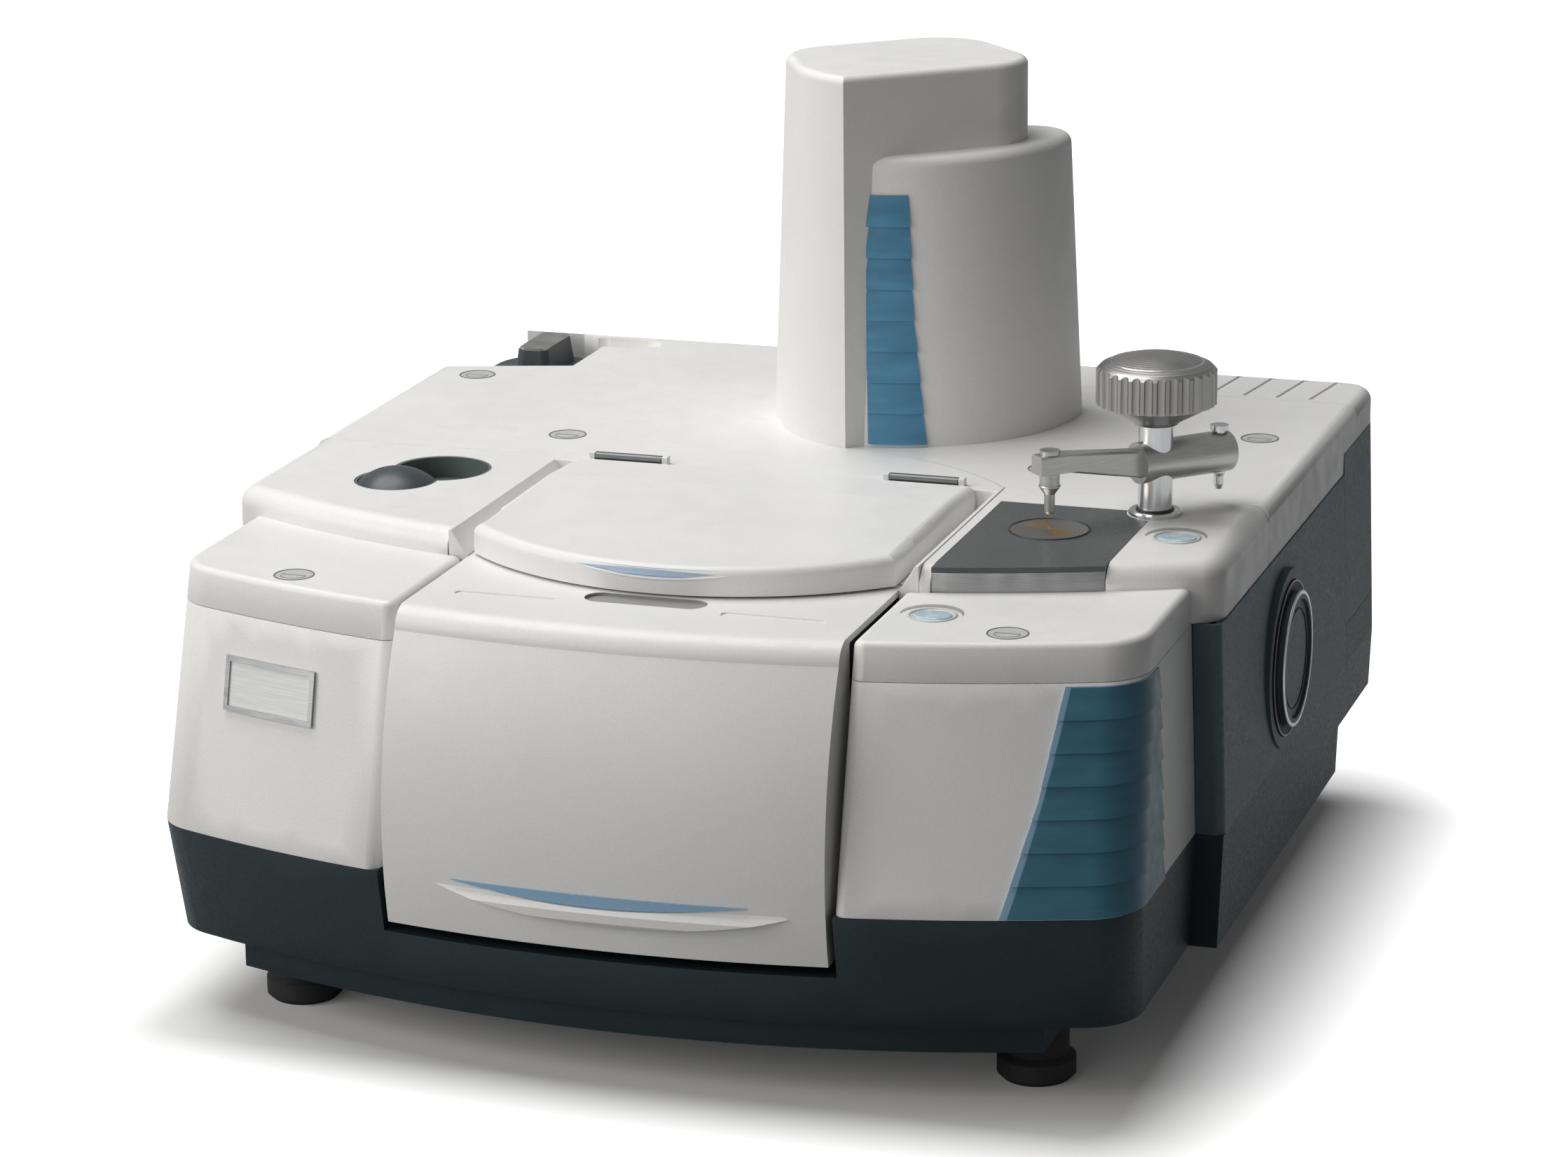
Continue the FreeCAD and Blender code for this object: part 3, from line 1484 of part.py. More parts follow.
def build_tower_accent():
    def outline(level, proud):
        return shell_loop(shell_draft * level / shell_height, plain(proud))

    ribs = shingles(tower_rib_count, tower_accent_low, tower_accent_high, outline)
    middle = (tower_accent_low + tower_accent_high) / 2
    mask = front_mask([(tower_accent_left, tower_accent_low), (tower_accent_foot, tower_accent_low),
                       (tower_accent_waist, middle), (tower_accent_head, tower_accent_high),
                       (tower_accent_left, tower_accent_high)], -70.0, 0.0)
    seat = free_gap / 2
    plain_shell = Part.makeLoft([wire_at(shell_loop(0.0, seat), 0.0),
                                 wire_at(shell_loop(shell_draft, seat), shell_height)], True, True)
    made = solid_feature("tower_accent", ribs.common(mask).cut(plain_shell))
    finish("tower_accent", place(made, tower_x, tower_y, deck_top, tower_turn))


build_tower_accent()


# Compartment frame: the raised surround of the lid, with troughs along both sides and notches for the hinges.
frame_top = size("frame_top", 286.0)
frame_low = size("frame_low", 262.0)
frame_front_y = size("frame_front_y", -181.2)
deck_back_bow = size("deck_back_bow", 645.5)
opening_half = size("opening_half", 128.0)
opening_back_y = size("opening_back_y", -7.0)
trough_half = size("trough_half", 134.0)
trough_level = size("trough_level", 271.2)
hinge_y = size("hinge_y", 0.0)
hinge_level = size("hinge_level", 287.8)
hinge_radius = size("hinge_radius", 3.4)
hinge_pin_radius = size("hinge_pin_radius", 1.5)
hinge_inner_x = size("hinge_inner_x", 74.0)
hinge_outer_x = size("hinge_outer_x", 118.0)
hinge_notch_level = size("hinge_notch_level", 283.8)


def build_frame():
    body = new_body("compartment_frame")
    meet_y = frame_arc_y + circle_back(frame_arc_radius, frame_half)
    outline = [(-frame_half, frame_front_y), (frame_half, frame_front_y), (frame_half, meet_y),
               (-frame_half, meet_y, frame_arc_radius)]
    pad(body, [outline], frame_low, frame_top - frame_low)
    opening = rectangle(-opening_half, frame_front_y - wall, opening_half, opening_back_y)
    pocket(body, [opening], frame_top, frame_top - frame_low)
    corners = []
    for side in (1, -1):
        corners.append(on_side(side, rectangle(opening_half - 1.0, frame_front_y - wall, door_half + seam,
                                               bow_y(deck_back_bow, door_half) + seam)))
    pocket(body, corners, frame_top, frame_top - frame_low)
    for side in (1, -1):
        trough = [(opening_half - 1.0, trough_level), (trough_half, trough_level),
                  (frame_half - 1.5, frame_top + 1.0), (opening_half - 1.0, frame_top + 1.0)]
        pocket(body, [on_side(side, trough)], -opening_back_y, opening_back_y - frame_front_y,
               plane="XZ", ahead=True)
    inner_half = hinge_outer_x
    inner_arc = frame_arc_radius - wall * 2
    inner_y = frame_arc_y + circle_back(inner_arc, inner_half)
    hollow = [(-inner_half, opening_back_y + wall), (inner_half, opening_back_y + wall),
              (inner_half, inner_y), (-inner_half, inner_y, inner_arc)]
    hollow_top = hinge_notch_level - wall
    pocket(body, [hollow], frame_low, hollow_top - frame_low, ahead=True)
    notches = []
    for side in (1, -1):
        notches.append(on_side(side, rectangle(hinge_inner_x, opening_back_y - 1.0, hinge_outer_x,
                                               hinge_y + hinge_radius + 1.0)))
    pocket(body, notches, frame_top, frame_top - hinge_notch_level)
    lugs = []
    for side in (1, -1):
        for near, far in ((hinge_inner_x - 4.0, hinge_inner_x), (hinge_outer_x, hinge_outer_x + 4.0)):
            lugs.append(on_side(side, rectangle(near, hinge_y - 3.0, far, hinge_y + 3.0)))
    pad(body, lugs, frame_top, hinge_level + hinge_radius - frame_top)
    finish("compartment_frame", body)


build_frame()


# Sample lid: a shell with a bowed front lip, hinged at the back on two barrels.
lid_top = size("lid_top", 291.0)
lid_back_level = size("lid_back_level", 288.2)
lid_low = size("lid_low", 272.0)
lid_half = size("lid_half", 130.5)
lid_back_y = size("lid_back_y", -8.0)
lid_crease_y = size("lid_crease_y", -57.0)
lid_front_level = size("lid_front_level", 288.5)
lid_arc_y = size("lid_arc_y", -45.0)
lid_arc_radius = size("lid_arc_radius", 186.0)
lid_edge = size("lid_edge", 6.0)
lid_wall = size("lid_wall", 3.5)
leaf_low = size("leaf_low", 284.4)
lid_lens_half = size("lid_lens_half", 42.0)
lid_lens_radius = size("lid_lens_radius", 180.0)


def build_lid():
    body = new_body("sample_lid")
    meet_y = lid_arc_y - circle_back(lid_arc_radius, lid_half)
    outline = [(lid_half, lid_back_y), (-lid_half, lid_back_y), (-lid_half, meet_y),
               (lid_half, meet_y, lid_arc_radius)]
    pad(body, [outline], lid_low, lid_top - lid_low)
    front = lid_arc_y - lid_arc_radius
    over = lid_top + 2.0
    run = lid_crease_y - front + 1.0
    fall = lid_top - lid_front_level
    crown = (run * run + fall * fall) / (fall * 2)
    profile = [(lid_back_y + 1.0, lid_back_level), (lid_crease_y, lid_top),
               (front - 1.0, lid_front_level, crown), (front - 1.0, over), (lid_back_y + 1.0, over)]
    wide = lid_half + wall
    pocket(body, [profile], wide, wide * 2, plane="YZ")

    def upper_rim(edge):
        middle = edge_middle(edge)
        high = min(vertex.Z for vertex in edge.Vertexes) > lid_low.number + 12
        on_side_edge = abs(abs(middle.x) - lid_half.number) < TINY
        from_arc = abs(math.hypot(middle.x, middle.y - lid_arc_y.number) - lid_arc_radius.number)
        return high and edge.Length > 20 and (on_side_edge or (from_arc < TINY and middle.y < meet_y.number))

    soften(body, lid_edge, upper_rim)
    inner_half = lid_half - lid_wall
    inner_radius = lid_arc_radius - lid_wall
    inner_meet = lid_arc_y - circle_back(inner_radius, inner_half)
    hollow = [(inner_half, lid_back_y - lid_wall), (-inner_half, lid_back_y - lid_wall), (-inner_half, inner_meet),
              (inner_half, inner_meet, inner_radius)]
    pocket(body, [hollow], lid_low, lid_back_level - lid_wall - lid_low, ahead=True)
    finish("sample_lid", body)
    ring = new_body("lid_accent_ring")
    face = lid_arc_radius + 0.5
    seat = face - lid_wall * 0.8
    turned(ring, [
        (-seat, lid_front_level - lid_edge * 2), (-face, lid_front_level - lid_edge * 2),
        (-face, lid_front_level - lid_edge + 0.5), (-seat, lid_front_level - 0.3),
    ], 40.0, lid_arc_y, plane="YZ")
    top = lid_front_level - 1.6
    prism = front_prism("lid_accent_prism", [[(-lid_lens_half, top), (lid_lens_half, top, lid_lens_radius)]])
    whole = combine("Common", "lid_accent_whole", ring, prism)
    finish("lid_accent", combine("Cut", "lid_accent", whole, body))


def build_hinges():
    leaves = []
    pins = []
    for name, side in (("left", -1), ("right", 1)):
        near = hinge_inner_x + free_gap
        long = hinge_outer_x - hinge_inner_x - free_gap * 2
        start = near if side > 0 else -(near + long)
        leaf = new_body(f"lid_hinge_{name}")
        pad(leaf, [circle(hinge_y, hinge_level, hinge_radius)], start, long, plane="YZ")
        pad(leaf, [[(lid_back_y, leaf_low), (hinge_y - 1.0, leaf_low), (hinge_y - 1.0, leaf_low + 2.4),
                    (lid_back_y, leaf_low + 2.4)]], start, long, plane="YZ")
        pocket(leaf, [circle(hinge_y, hinge_level, hinge_pin_radius + running_gap)], start + long, long, plane="YZ")
        leaves.append(leaf)
        pin = new_body(f"hinge_pin_{name}")
        start = hinge_inner_x if side > 0 else -hinge_outer_x
        pad(pin, [circle(hinge_y, hinge_level, hinge_pin_radius)], start, hinge_outer_x - hinge_inner_x, plane="YZ")
        pins.append(pin)
    finish("lid_hinges", group("lid_hinges", leaves))
    finish("hinge_pins", group("hinge_pins", pins))


build_lid()
build_hinges()


# Front door: a barrel-shaped front with a rounded shoulder, a deck on top, a handle lip and its accent.
door_low = size("door_low", 89.0)
door_belly_radius = size("door_belly_radius", 252.0)
door_foot_bow = size("door_foot_bow", 793.0)
door_head_bow = size("door_head_bow", 770.0)
door_head_level = size("door_head_level", 258.0)
door_shoulder_bow = size("door_shoulder_bow", 756.0)
door_shoulder_radius = size("door_shoulder_radius", 14.0)
door_back_bow = size("door_back_bow", 750.0)
handle_low = size("handle_low", 104.0)
handle_high = size("handle_high", 124.0)
handle_proud = size("handle_proud", 7.0)
handle_half = size("handle_half", 112.5)
handle_lower_radius = size("handle_lower_radius", 475.0)
lens_half = size("lens_half", 89.0)
lens_radius = size("lens_radius", 612.0)
lens_level = size("lens_level", 123.5)


def door_block(name, inset=0.0):
    body = new_body(name)
    foot = door_foot_bow - inset
    head = door_head_bow - inset
    top = cap_top - inset
    low = door_low - inset * 2
    profile = [
        (-plain(door_back_bow - inset * 3), low), (-foot, low), (-head, door_head_level, -(door_belly_radius - inset)),
        (-(door_shoulder_bow - inset * 0.5), top, -door_shoulder_radius),
    ]
    if number(inset) == 0:
        profile += [(-deck_back_bow, top), (-deck_back_bow, top - wall), (-door_back_bow, top - wall)]
    else:
        profile += [(-(door_back_bow - inset * 3), top)]
    turned(body, profile, 24.0, bow_axis_y, plane="YZ")
    half = door_half - inset
    wide = door_half * 2
    deep = rectangle(half, ahead_y - wall * 5, wide, step_y + wall * 6)
    tall = cap_top + wall - low
    pocket(body, [deep, mirrored(deep)], cap_top + wall, tall + wall)
    return body


def lens_loop():
    return [(-lens_half, lens_level), (lens_half, lens_level, lens_radius)]


def build_door():
    outer = door_block("front_door_outer")
    finger = oval(0.0, -241.0, 27.0, 10.0)
    marks = [rounded(50.0, -258.0, 112.0, -251.0, 2.5)]
    pocket(outer, [finger], cap_top, 2.0)
    pocket(outer, marks + [mirrored(mark) for mark in marks], cap_top, 0.8)
    inner = door_block("front_door_inner", wall * 0.8)
    shell = combine("Cut", "front_door_shell", outer, inner)
    lip_ring = new_body("handle_ring")
    base = door_foot_bow + 2.0
    turned(lip_ring, [
        (-base, handle_low), (-(base + handle_proud * 0.6), handle_low + 1.0), (-(base + handle_proud), 109.0),
        (-(base + handle_proud), 114.0), (-(base + handle_proud * 0.5), 117.5), (-base, handle_high),
    ], 24.0, bow_axis_y, plane="YZ")
    crescent = front_prism("handle_prism", [[
        (-handle_half, lens_level - 1.0), (handle_half, 118.0, handle_lower_radius), (handle_half - 6.0, 121.0),
        (lens_half, lens_level - 1.0), (-lens_half, lens_level - 1.0, -lens_radius),
    ]])
    lip = combine("Common", "handle_lip", lip_ring, crescent)
    finish("front_door", fuse("front_door", [shell, lip]))
    ring = new_body("door_accent_ring")
    turned(ring, [(-(base + 2.2), lens_level - 12.0), (-(base + 4.2), lens_level - 12.0),
                  (-(base + 4.2), lens_level + 2.0), (-(base + 2.2), lens_level + 2.0)], 24.0, bow_axis_y, plane="YZ")
    prism = front_prism("door_accent_prism", [lens_loop()])
    accent = combine("Common", "door_accent_whole", ring, prism)
    finish("door_accent", combine("Cut", "door_accent", accent, sub_parts["front_door"]))


build_door()


# Sample tub: a channel open towards the door, with a flange under the frame, two windows and a holder in it.
tub_half = size("tub_half", 127.0)
tub_wall = size("tub_wall", 4.0)
tub_back_y = size("tub_back_y", -10.0)
tub_front_y = size("tub_front_y", -262.0)
tub_flange_half = size("tub_flange_half", 143.0)
beam_y = size("beam_y", -110.0)
beam_level = size("beam_level", 190.0)
window_radius = size("window_radius", 20.0)
window_thick = size("window_thick", 7.0)
window_clear_radius = size("window_clear_radius", 13.0)


def build_tub():
    body = new_body("sample_tub")
    inner = tub_half - tub_wall
    floor = base_top + tub_wall
    channel = [
        (-tub_half, base_top), (tub_half, base_top), (tub_half, frame_low), (inner, frame_low),
        (inner, floor), (-inner, floor), (-inner, frame_low), (-tub_half, frame_low),
    ]
    pad(body, [channel], -tub_back_y, tub_back_y - tub_front_y, plane="XZ")
    pad(body, [rectangle(-tub_half, floor, tub_half, frame_low)], -tub_back_y, tub_wall, plane="XZ")
    flanges = []
    for side in (1, -1):
        flanges.append(on_side(side, rectangle(tub_half - 1.0, frame_low - tub_wall, tub_flange_half, frame_low)))
    pad(body, flanges, -tub_back_y, tub_back_y - frame_front_y - tub_wall, plane="XZ")
    pad(body, [rectangle(-tub_half, sill_back_y + 1.0, tub_half, tub_front_y + 1.0)], base_top, tub_wall)
    legs = []
    for side in (1, -1):
        legs.append(on_side(side, rectangle(86.0, -46.0, 110.0, -22.0)))
    pad(body, legs, base_top + 1.0, base_top + 1.0 - base_bottom - base_floor, back=True)
    holes = [circle(beam_y, beam_level, window_radius + free_gap)]
    pocket(body, holes, tub_half + 1.0, tub_half * 2 + 2.0, plane="YZ")
    finish("sample_tub", body)
    windows = []
    for side in (-1, 1):
        piece = new_body(f"beam_window_{'left' if side < 0 else 'right'}")
        near = tub_half - window_thick + 1.0
        start = near if side > 0 else -(near + window_thick)
        pad(piece, [circle(beam_y, beam_level, window_radius)], start, window_thick, plane="YZ")
        face = start if side > 0 else start + window_thick
        pocket(piece, [circle(beam_y, beam_level, window_clear_radius)], face, window_thick / 2,
               plane="YZ", ahead=side > 0)
        windows.append(piece)
    finish("beam_windows", group("beam_windows", windows))
    holder = new_body("sample_holder")
    pad(holder, [rounded(-38.0, beam_y - 45.0, 38.0, beam_y + 45.0, 6.0)], floor, 5.0)
    pad(holder, [rectangle(beam_y - 27.0, floor + 5.0, beam_y + 27.0, beam_level + 36.0)], -3.0, 6.0, plane="YZ")
    for offset in (-27.0, 22.0):
        pad(holder, [rectangle(beam_y + offset, floor + 5.0, beam_y + offset + 5.0, beam_level + 36.0)],
            -9.0, 12.0, plane="YZ")
    pocket(holder, [circle(beam_y, beam_level, 15.0)], 10.0, 20.0, plane="YZ")
    finish("sample_holder", holder)


build_tub()


# Inside: the optical bench on its pillars and what it carries, the dewar detector and the electronics.
bench_half_inset = size("bench_half_inset", 31.0)
bench_half = body_half - bench_half_inset
bench_front_y = size("bench_front_y", 12.0)
bench_back_y = size("bench_back_y", 300.0)
bench_low = size("bench_low", 127.0)
bench_thick = size("bench_thick", 12.0)
pillar_inset = size("pillar_inset", 53.0)
pillar_x = body_half - pillar_inset
pillar_radius = size("pillar_radius", 12.0)
shaft_radius = size("shaft_radius", 5.0)
mirror_radius = size("mirror_radius", 19.0)
mirror_thick = size("mirror_thick", 12.0)
mirror_travel = size("mirror_travel", 4.0)
interferometer_x = size("interferometer_x", 85.0)
interferometer_front_y = size("interferometer_front_y", 96.0)


def build_bench():
    body = new_body("optical_bench")
    floor = base_bottom + base_floor
    pad(body, [rounded(-bench_half, bench_front_y, bench_half, bench_back_y, 12.0)], bench_low, bench_thick)
    pillars = [circle(side * pillar_x, y, pillar_radius) for side in (1, -1) for y in (34.0, 194.0)]
    pad(body, pillars, bench_low + 1.0, bench_low + 1.0 - floor, back=True)
    finish("optical_bench", body)


def build_interferometer():
    top = bench_low + bench_thick
    body = new_body("interferometer")
    x = interferometer_x
    front = interferometer_front_y
    pad(body, [rounded(x - 62.0, front, x + 62.0, front + 104.0, 8.0)], top, 94.0)
    pocket(body, [circle(x, beam_level, 24.0)], -(front + 80.0), 84.0, plane="XZ", ahead=True)
    pocket(body, [circle(front + 52.0, beam_level, 24.0)], x + 64.0, 60.0, plane="YZ")
    pad(body, [circle(x, beam_level, shaft_radius)], -(front + 81.0), 128.0, plane="XZ")
    finish("interferometer", body)
    mirror = new_body("moving_mirror")
    rear = front - 10.0 - mirror_travel
    pad(mirror, [circle(x, beam_level, mirror_radius)], -rear, mirror_thick, plane="XZ")
    pocket(mirror, [circle(x, beam_level, shaft_radius + running_gap)], -(rear + 1.0), mirror_thick + 2.0,
           plane="XZ", ahead=True)
    finish("moving_mirror", mirror)


def build_source():
    top = bench_low + bench_thick
    body = new_body("infrared_source")
    profile = [(0.0, 0.0), (32.0, 0.0), (32.0, 10.0)]
    for index in range(5):
        low = 14.0 + index * 9.0
        profile += [(25.0, low - 4.0), (25.0, low), (31.0, low), (31.0, low + 5.0)]
    profile += [(20.0, 55.0), (20.0, 66.0), (0.0, 66.0)]
    turned(body, profile)
    finish("infrared_source", place(body, -150.0, 150.0, top))


def build_laser():
    top = bench_low + bench_thick
    body = new_body("reference_laser")
    pad(body, [circle(48.0, top + 34.0, 17.0)], -140.0, 116.0, plane="YZ")
    pad(body, [rectangle(36.0, top, 60.0, top + 24.0)], -128.0, 92.0, plane="YZ")
    finish("reference_laser", body)


def build_detector():
    floor = base_bottom + base_floor
    body = new_body("dewar_detector")
    neck_top = liner_floor_level - liner_wall - free_gap
    turned(body, [
        (0.0, floor), (34.0, floor), (34.0, 226.0), (28.0, 236.0, 12.0), (17.0, 236.0), (17.0, neck_top),
        (0.0, neck_top),
    ])
    place(body, dome_x, dome_y)
    snout = new_body("dewar_snout")
    pad(snout, [circle(beam_y, beam_level, 17.0)], dome_x, 83.0, plane="YZ")
    finish("dewar_detector", fuse("dewar_detector", [body, snout]))


def build_electronics():
    floor = base_bottom + base_floor
    supply = new_body("power_supply")
    pad(supply, [rounded(110.0, 40.0, 232.0, 190.0, 4.0)], floor, 54.0)
    finish("power_supply", supply)
    board = new_body("control_board")
    pad(board, [rectangle(-232.0, 40.0, -96.0, 190.0)], floor + 8.0, 2.0)
    studs = [circle(x, y, 3.5) for x in (-226.0, -102.0) for y in (46.0, 184.0)]
    pad(board, studs, floor + 8.5, 8.5, back=True)
    chips = [rectangle(-200.0, 70.0, -170.0, 100.0), rectangle(-150.0, 60.0, -120.0, 90.0),
             rectangle(-190.0, 130.0, -130.0, 160.0)]
    pad(board, chips, floor + 9.5, 7.0)
    finish("control_board", board)


build_bench()
build_interferometer()
build_source()
build_laser()
build_detector()
build_electronics()


# Every object is checked before anything is written.
doc.recompute()
faulty = [thing.Label for thing in doc.Objects if {"Invalid", "Error"} & set(thing.State)]
faulty += [name for name, thing in sub_parts.items() if thing.Shape.isNull() or not thing.Shape.isValid()]
faulty += [name for name, thing in sub_parts.items() if not thing.Shape.Solids or thing.Shape.Volume <= 0]
if faulty:
    raise RuntimeError(f"these did not build: {sorted(set(faulty))}")
os.makedirs("parts", exist_ok=True)
for name, thing in sub_parts.items():
    thing.Shape.exportStep(f"parts/{name}.step")
print(f"{len(sub_parts)} sub-parts, {sum(len(thing.Shape.Solids) for thing in sub_parts.values())} solids")
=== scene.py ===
import json
import math

import bpy
from mathutils import Matrix, Vector


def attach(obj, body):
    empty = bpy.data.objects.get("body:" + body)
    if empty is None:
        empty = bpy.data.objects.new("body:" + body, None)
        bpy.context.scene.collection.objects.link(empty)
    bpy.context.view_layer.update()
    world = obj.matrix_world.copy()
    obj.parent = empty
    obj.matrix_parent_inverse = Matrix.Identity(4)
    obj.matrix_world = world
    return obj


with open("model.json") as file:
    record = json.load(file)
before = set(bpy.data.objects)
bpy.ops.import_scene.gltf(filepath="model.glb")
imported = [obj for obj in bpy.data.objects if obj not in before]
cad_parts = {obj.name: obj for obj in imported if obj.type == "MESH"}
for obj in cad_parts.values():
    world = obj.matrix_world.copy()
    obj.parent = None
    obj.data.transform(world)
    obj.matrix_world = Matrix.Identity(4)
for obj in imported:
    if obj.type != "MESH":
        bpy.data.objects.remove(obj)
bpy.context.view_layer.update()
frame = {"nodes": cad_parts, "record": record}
nodes = frame["nodes"]
scene = bpy.context.scene

# Places on the object, in metres: X to the right, Y to the back, Z up from the bench.
CRYSTAL = (0.1964, -0.081)
POST = (0.2476, -0.028)
PORT = (0.044, 0.18)
COVER_TOP = 0.2855
CAP_TOP = 0.2705
LID_ARC_Y = -0.045
REAR_Y = 0.3365
INLET_X = -0.229
INLET_LEVEL = 0.19
UPRIGHT = (0, 0, 1)
SIDEWAYS = (1, 0, 0)

# Colours.
WHITE = (0.83, 0.825, 0.81)
SLATE = (0.019, 0.033, 0.039)
# SHADED_PANEL is darker and more teal than the side and rear panels' own tone: painted shade.
SHADED_PANEL = (0.09, 0.13, 0.145)
PALE = (0.24, 0.42, 0.6)
LID_BLUE = (0.36, 0.47, 0.62)
SHADOW_GREY = (0.3, 0.3, 0.295)


# Materials. Texture coordinates are the object's own, in metres, so a scale of 1000 is one cell to the millimetre.

looks = {}


class Look:
    """A material with short calls for its nodes, kept in looks under its name."""

    def __init__(self, name, **constants):
        self.material = bpy.data.materials.new(name)
        self.material.use_nodes = True
        self.tree = self.material.node_tree
        self.shader = next(node for node in self.tree.nodes if node.type == "BSDF_PRINCIPLED")
        for socket, value in constants.items():
            self.shader.inputs[socket.replace("_", " ")].default_value = value
        self.coords = self.add("ShaderNodeTexCoord").outputs["Object"]
        looks[name] = self

    def add(self, kind, inputs=None, **settings):
        node = self.tree.nodes.new(kind)
        for key, value in settings.items():
            setattr(node, key, value)
        for key, value in (inputs or {}).items():
            if isinstance(value, bpy.types.NodeSocket):
                self.tree.links.new(value, node.inputs[key])
            else:
                node.inputs[key].default_value = value
        return node

    def math(self, operation, first, second=0.0):
        return self.add("ShaderNodeMath", {0: first, 1: second}, operation=operation).outputs[0]

    def product(self, first, *others):
        for other in others:
            first = self.math("MULTIPLY", first, other)
        return first

    def axis(self, name):
        if not hasattr(self, "split"):
            self.split = self.add("ShaderNodeSeparateXYZ", {0: self.coords})
        return self.split.outputs[name]

    def near(self, name, middle, reach):
        """Whether a coordinate lies within a reach of its middle."""
        off = self.math("ABSOLUTE", self.math("SUBTRACT", self.axis(name), middle))
        return self.math("LESS_THAN", off, reach)

    def stretched(self, scale):
        return self.add("ShaderNodeMapping", {"Vector": self.coords, "Scale": scale}).outputs[0]

    def noise(self, scale, detail=2.0, roughness=0.5, vector=None):
        inputs = {"Vector": vector or self.coords, "Scale": scale, "Detail": detail, "Roughness": roughness}
        return self.add("ShaderNodeTexNoise", inputs).outputs[0]

    def cells(self, scale):
        return self.add("ShaderNodeTexVoronoi", {"Vector": self.coords, "Scale": scale}).outputs[0]

    def remap(self, value, low, high, start=0.0, end=1.0):
        inputs = {0: value, 1: low, 2: high, 3: start, 4: end}
        return self.add("ShaderNodeMapRange", inputs).outputs[0]

    def mix(self, factor, first, second):
        """A mix of two colours: sockets 0, 6 and 7 are its factor and the colours."""
        return self.add("ShaderNodeMix", {0: factor, 6: first, 7: second}, data_type="RGBA").outputs[2]

    def color(self, value):
        self.tree.links.new(value, self.shader.inputs["Base Color"])

    def rough(self, value):
        self.tree.links.new(value, self.shader.inputs["Roughness"])

    def bump(self, height, depth):
        node = self.add("ShaderNodeBump", {"Height": height, "Distance": depth})
        self.tree.links.new(node.outputs[0], self.shader.inputs["Normal"])


def shade(rgb, factor=1.0):
    return (rgb[0] * factor, rgb[1] * factor, rgb[2] * factor, 1.0)


def moulded(name, rgb, rough=0.42, grain=1400.0, depth=0.00006, mottle=0.04, patch=None, **constants):
    """Moulded plastic: a fine spark-eroded grain, faint flow marks, uneven gloss and perhaps a patch: the lens colour
    on the lid, painted shade in the door's finger hollow.
    """
    look = Look(name, **constants)
    flow = look.noise(7.0, 3.0)
    specks = look.noise(grain, 1.0)
    tint = look.mix(look.remap(flow, 0.3, 0.7), shade(rgb, 1.0 - mottle), shade(rgb, 1.0 + mottle / 2))
    if patch:
        where, other = patch
        tint = look.mix(where(look), tint, shade(other))
    look.color(look.mix(look.remap(specks, 0.35, 0.65), tint, look.mix(0.06, tint, (0.0, 0.0, 0.0, 1.0))))
    look.rough(look.remap(look.noise(60.0, 2.0), 0.3, 0.7, rough - 0.05, rough + 0.07))
    look.bump(look.math("ADD", specks, look.product(look.cells(grain * 0.6), 0.5)), depth)


def powder(name, rgb, rough=0.5, depth=0.00012, **constants):
    """Powder coat: orange peel over a fine texture, and a little dust."""
    look = Look(name, **constants)
    peel = look.noise(420.0, 2.0)
    dust = look.remap(look.noise(18.0, 4.0, 0.6), 0.45, 0.75)
    look.color(look.mix(look.product(dust, 0.35), shade(rgb, 0.92), shade(rgb, 1.35)))
    look.rough(look.remap(peel, 0.3, 0.7, rough - 0.06, rough + 0.1))
    look.bump(look.math("ADD", peel, look.noise(1600.0, 1.0)), depth)


def brushed(name, rgb, scale, rough=0.3, metallic=1.0, depth=0.00003):
    """Brushed metal: long fine scratches one way, cloudy gloss and a few smudges."""
    look = Look(name, Metallic=metallic)
    hair = look.noise(1.0, 3.0, 0.6, look.stretched(scale))
    smudge = look.noise(35.0, 3.0, 0.55)
    look.color(look.mix(look.remap(hair, 0.3, 0.7), shade(rgb, 0.86), shade(rgb, 1.08)))
    gloss = look.math("ADD", look.product(hair, 0.14), look.product(smudge, 0.12))
    look.rough(look.math("ADD", gloss, rough - 0.12))
    look.bump(hair, depth)


def ringed(name, rgb, centre, rough, pitch=2600.0):
    """Turned metal: concentric tool marks round an upright axis at one place."""
    look = Look(name, Metallic=1.0)
    look.away = look.add("ShaderNodeVectorMath", {0: look.coords, 1: (*centre, 0.0)}, operation="SUBTRACT").outputs[0]
    flat = look.add("ShaderNodeVectorMath", {0: look.away, 1: (1.0, 1.0, 0.0)}, operation="MULTIPLY").outputs[0]
    look.radius = look.add("ShaderNodeVectorMath", {0: flat}, operation="LENGTH").outputs["Value"]
    waver = look.product(look.noise(80.0), 0.6)
    marks = look.math("SINE", look.math("ADD", look.product(look.radius, pitch), waver))
    look.tint = look.mix(look.remap(marks, -1.0, 1.0), shade(rgb, 0.9), shade(rgb, 1.05))
    look.color(look.tint)
    look.rough(look.remap(look.noise(50.0, 3.0), 0.3, 0.7, rough - 0.05, rough + 0.08))
    look.bump(marks, 0.00002)
    return look


def lens_patch(look):
    """The pointed lens on the lid's front edge, between two curves that meet at its tips."""
    along = look.math("DIVIDE", look.math("ADD", look.axis("X"), 0.006), 0.043)
    square = look.product(along, along)
    low = look.math("ADD", look.product(square, 0.0027), 0.282)
    high = look.math("ADD", look.product(square, -0.0016), 0.2863)
    above = look.math("GREATER_THAN", look.axis("Z"), low)
    below = look.math("LESS_THAN", look.axis("Z"), high)
    back = look.math("SUBTRACT", look.axis("Y"), LID_ARC_Y)
    reach = look.math("ADD", look.product(look.axis("X"), look.axis("X")), look.product(back, back))
    outside = look.math("GREATER_THAN", reach, 0.1835 ** 2)
    return look.product(above, below, outside, look.math("LESS_THAN", back, 0.0))


def hollow_shade_patch(look):
    """Painted shade: a grey patch on the floor of the finger hollow in the door's top."""
    return look.product(look.near("X", 0.0, 0.04), look.near("Y", -0.241, 0.012), look.near("Z", 0.269, 0.0011))


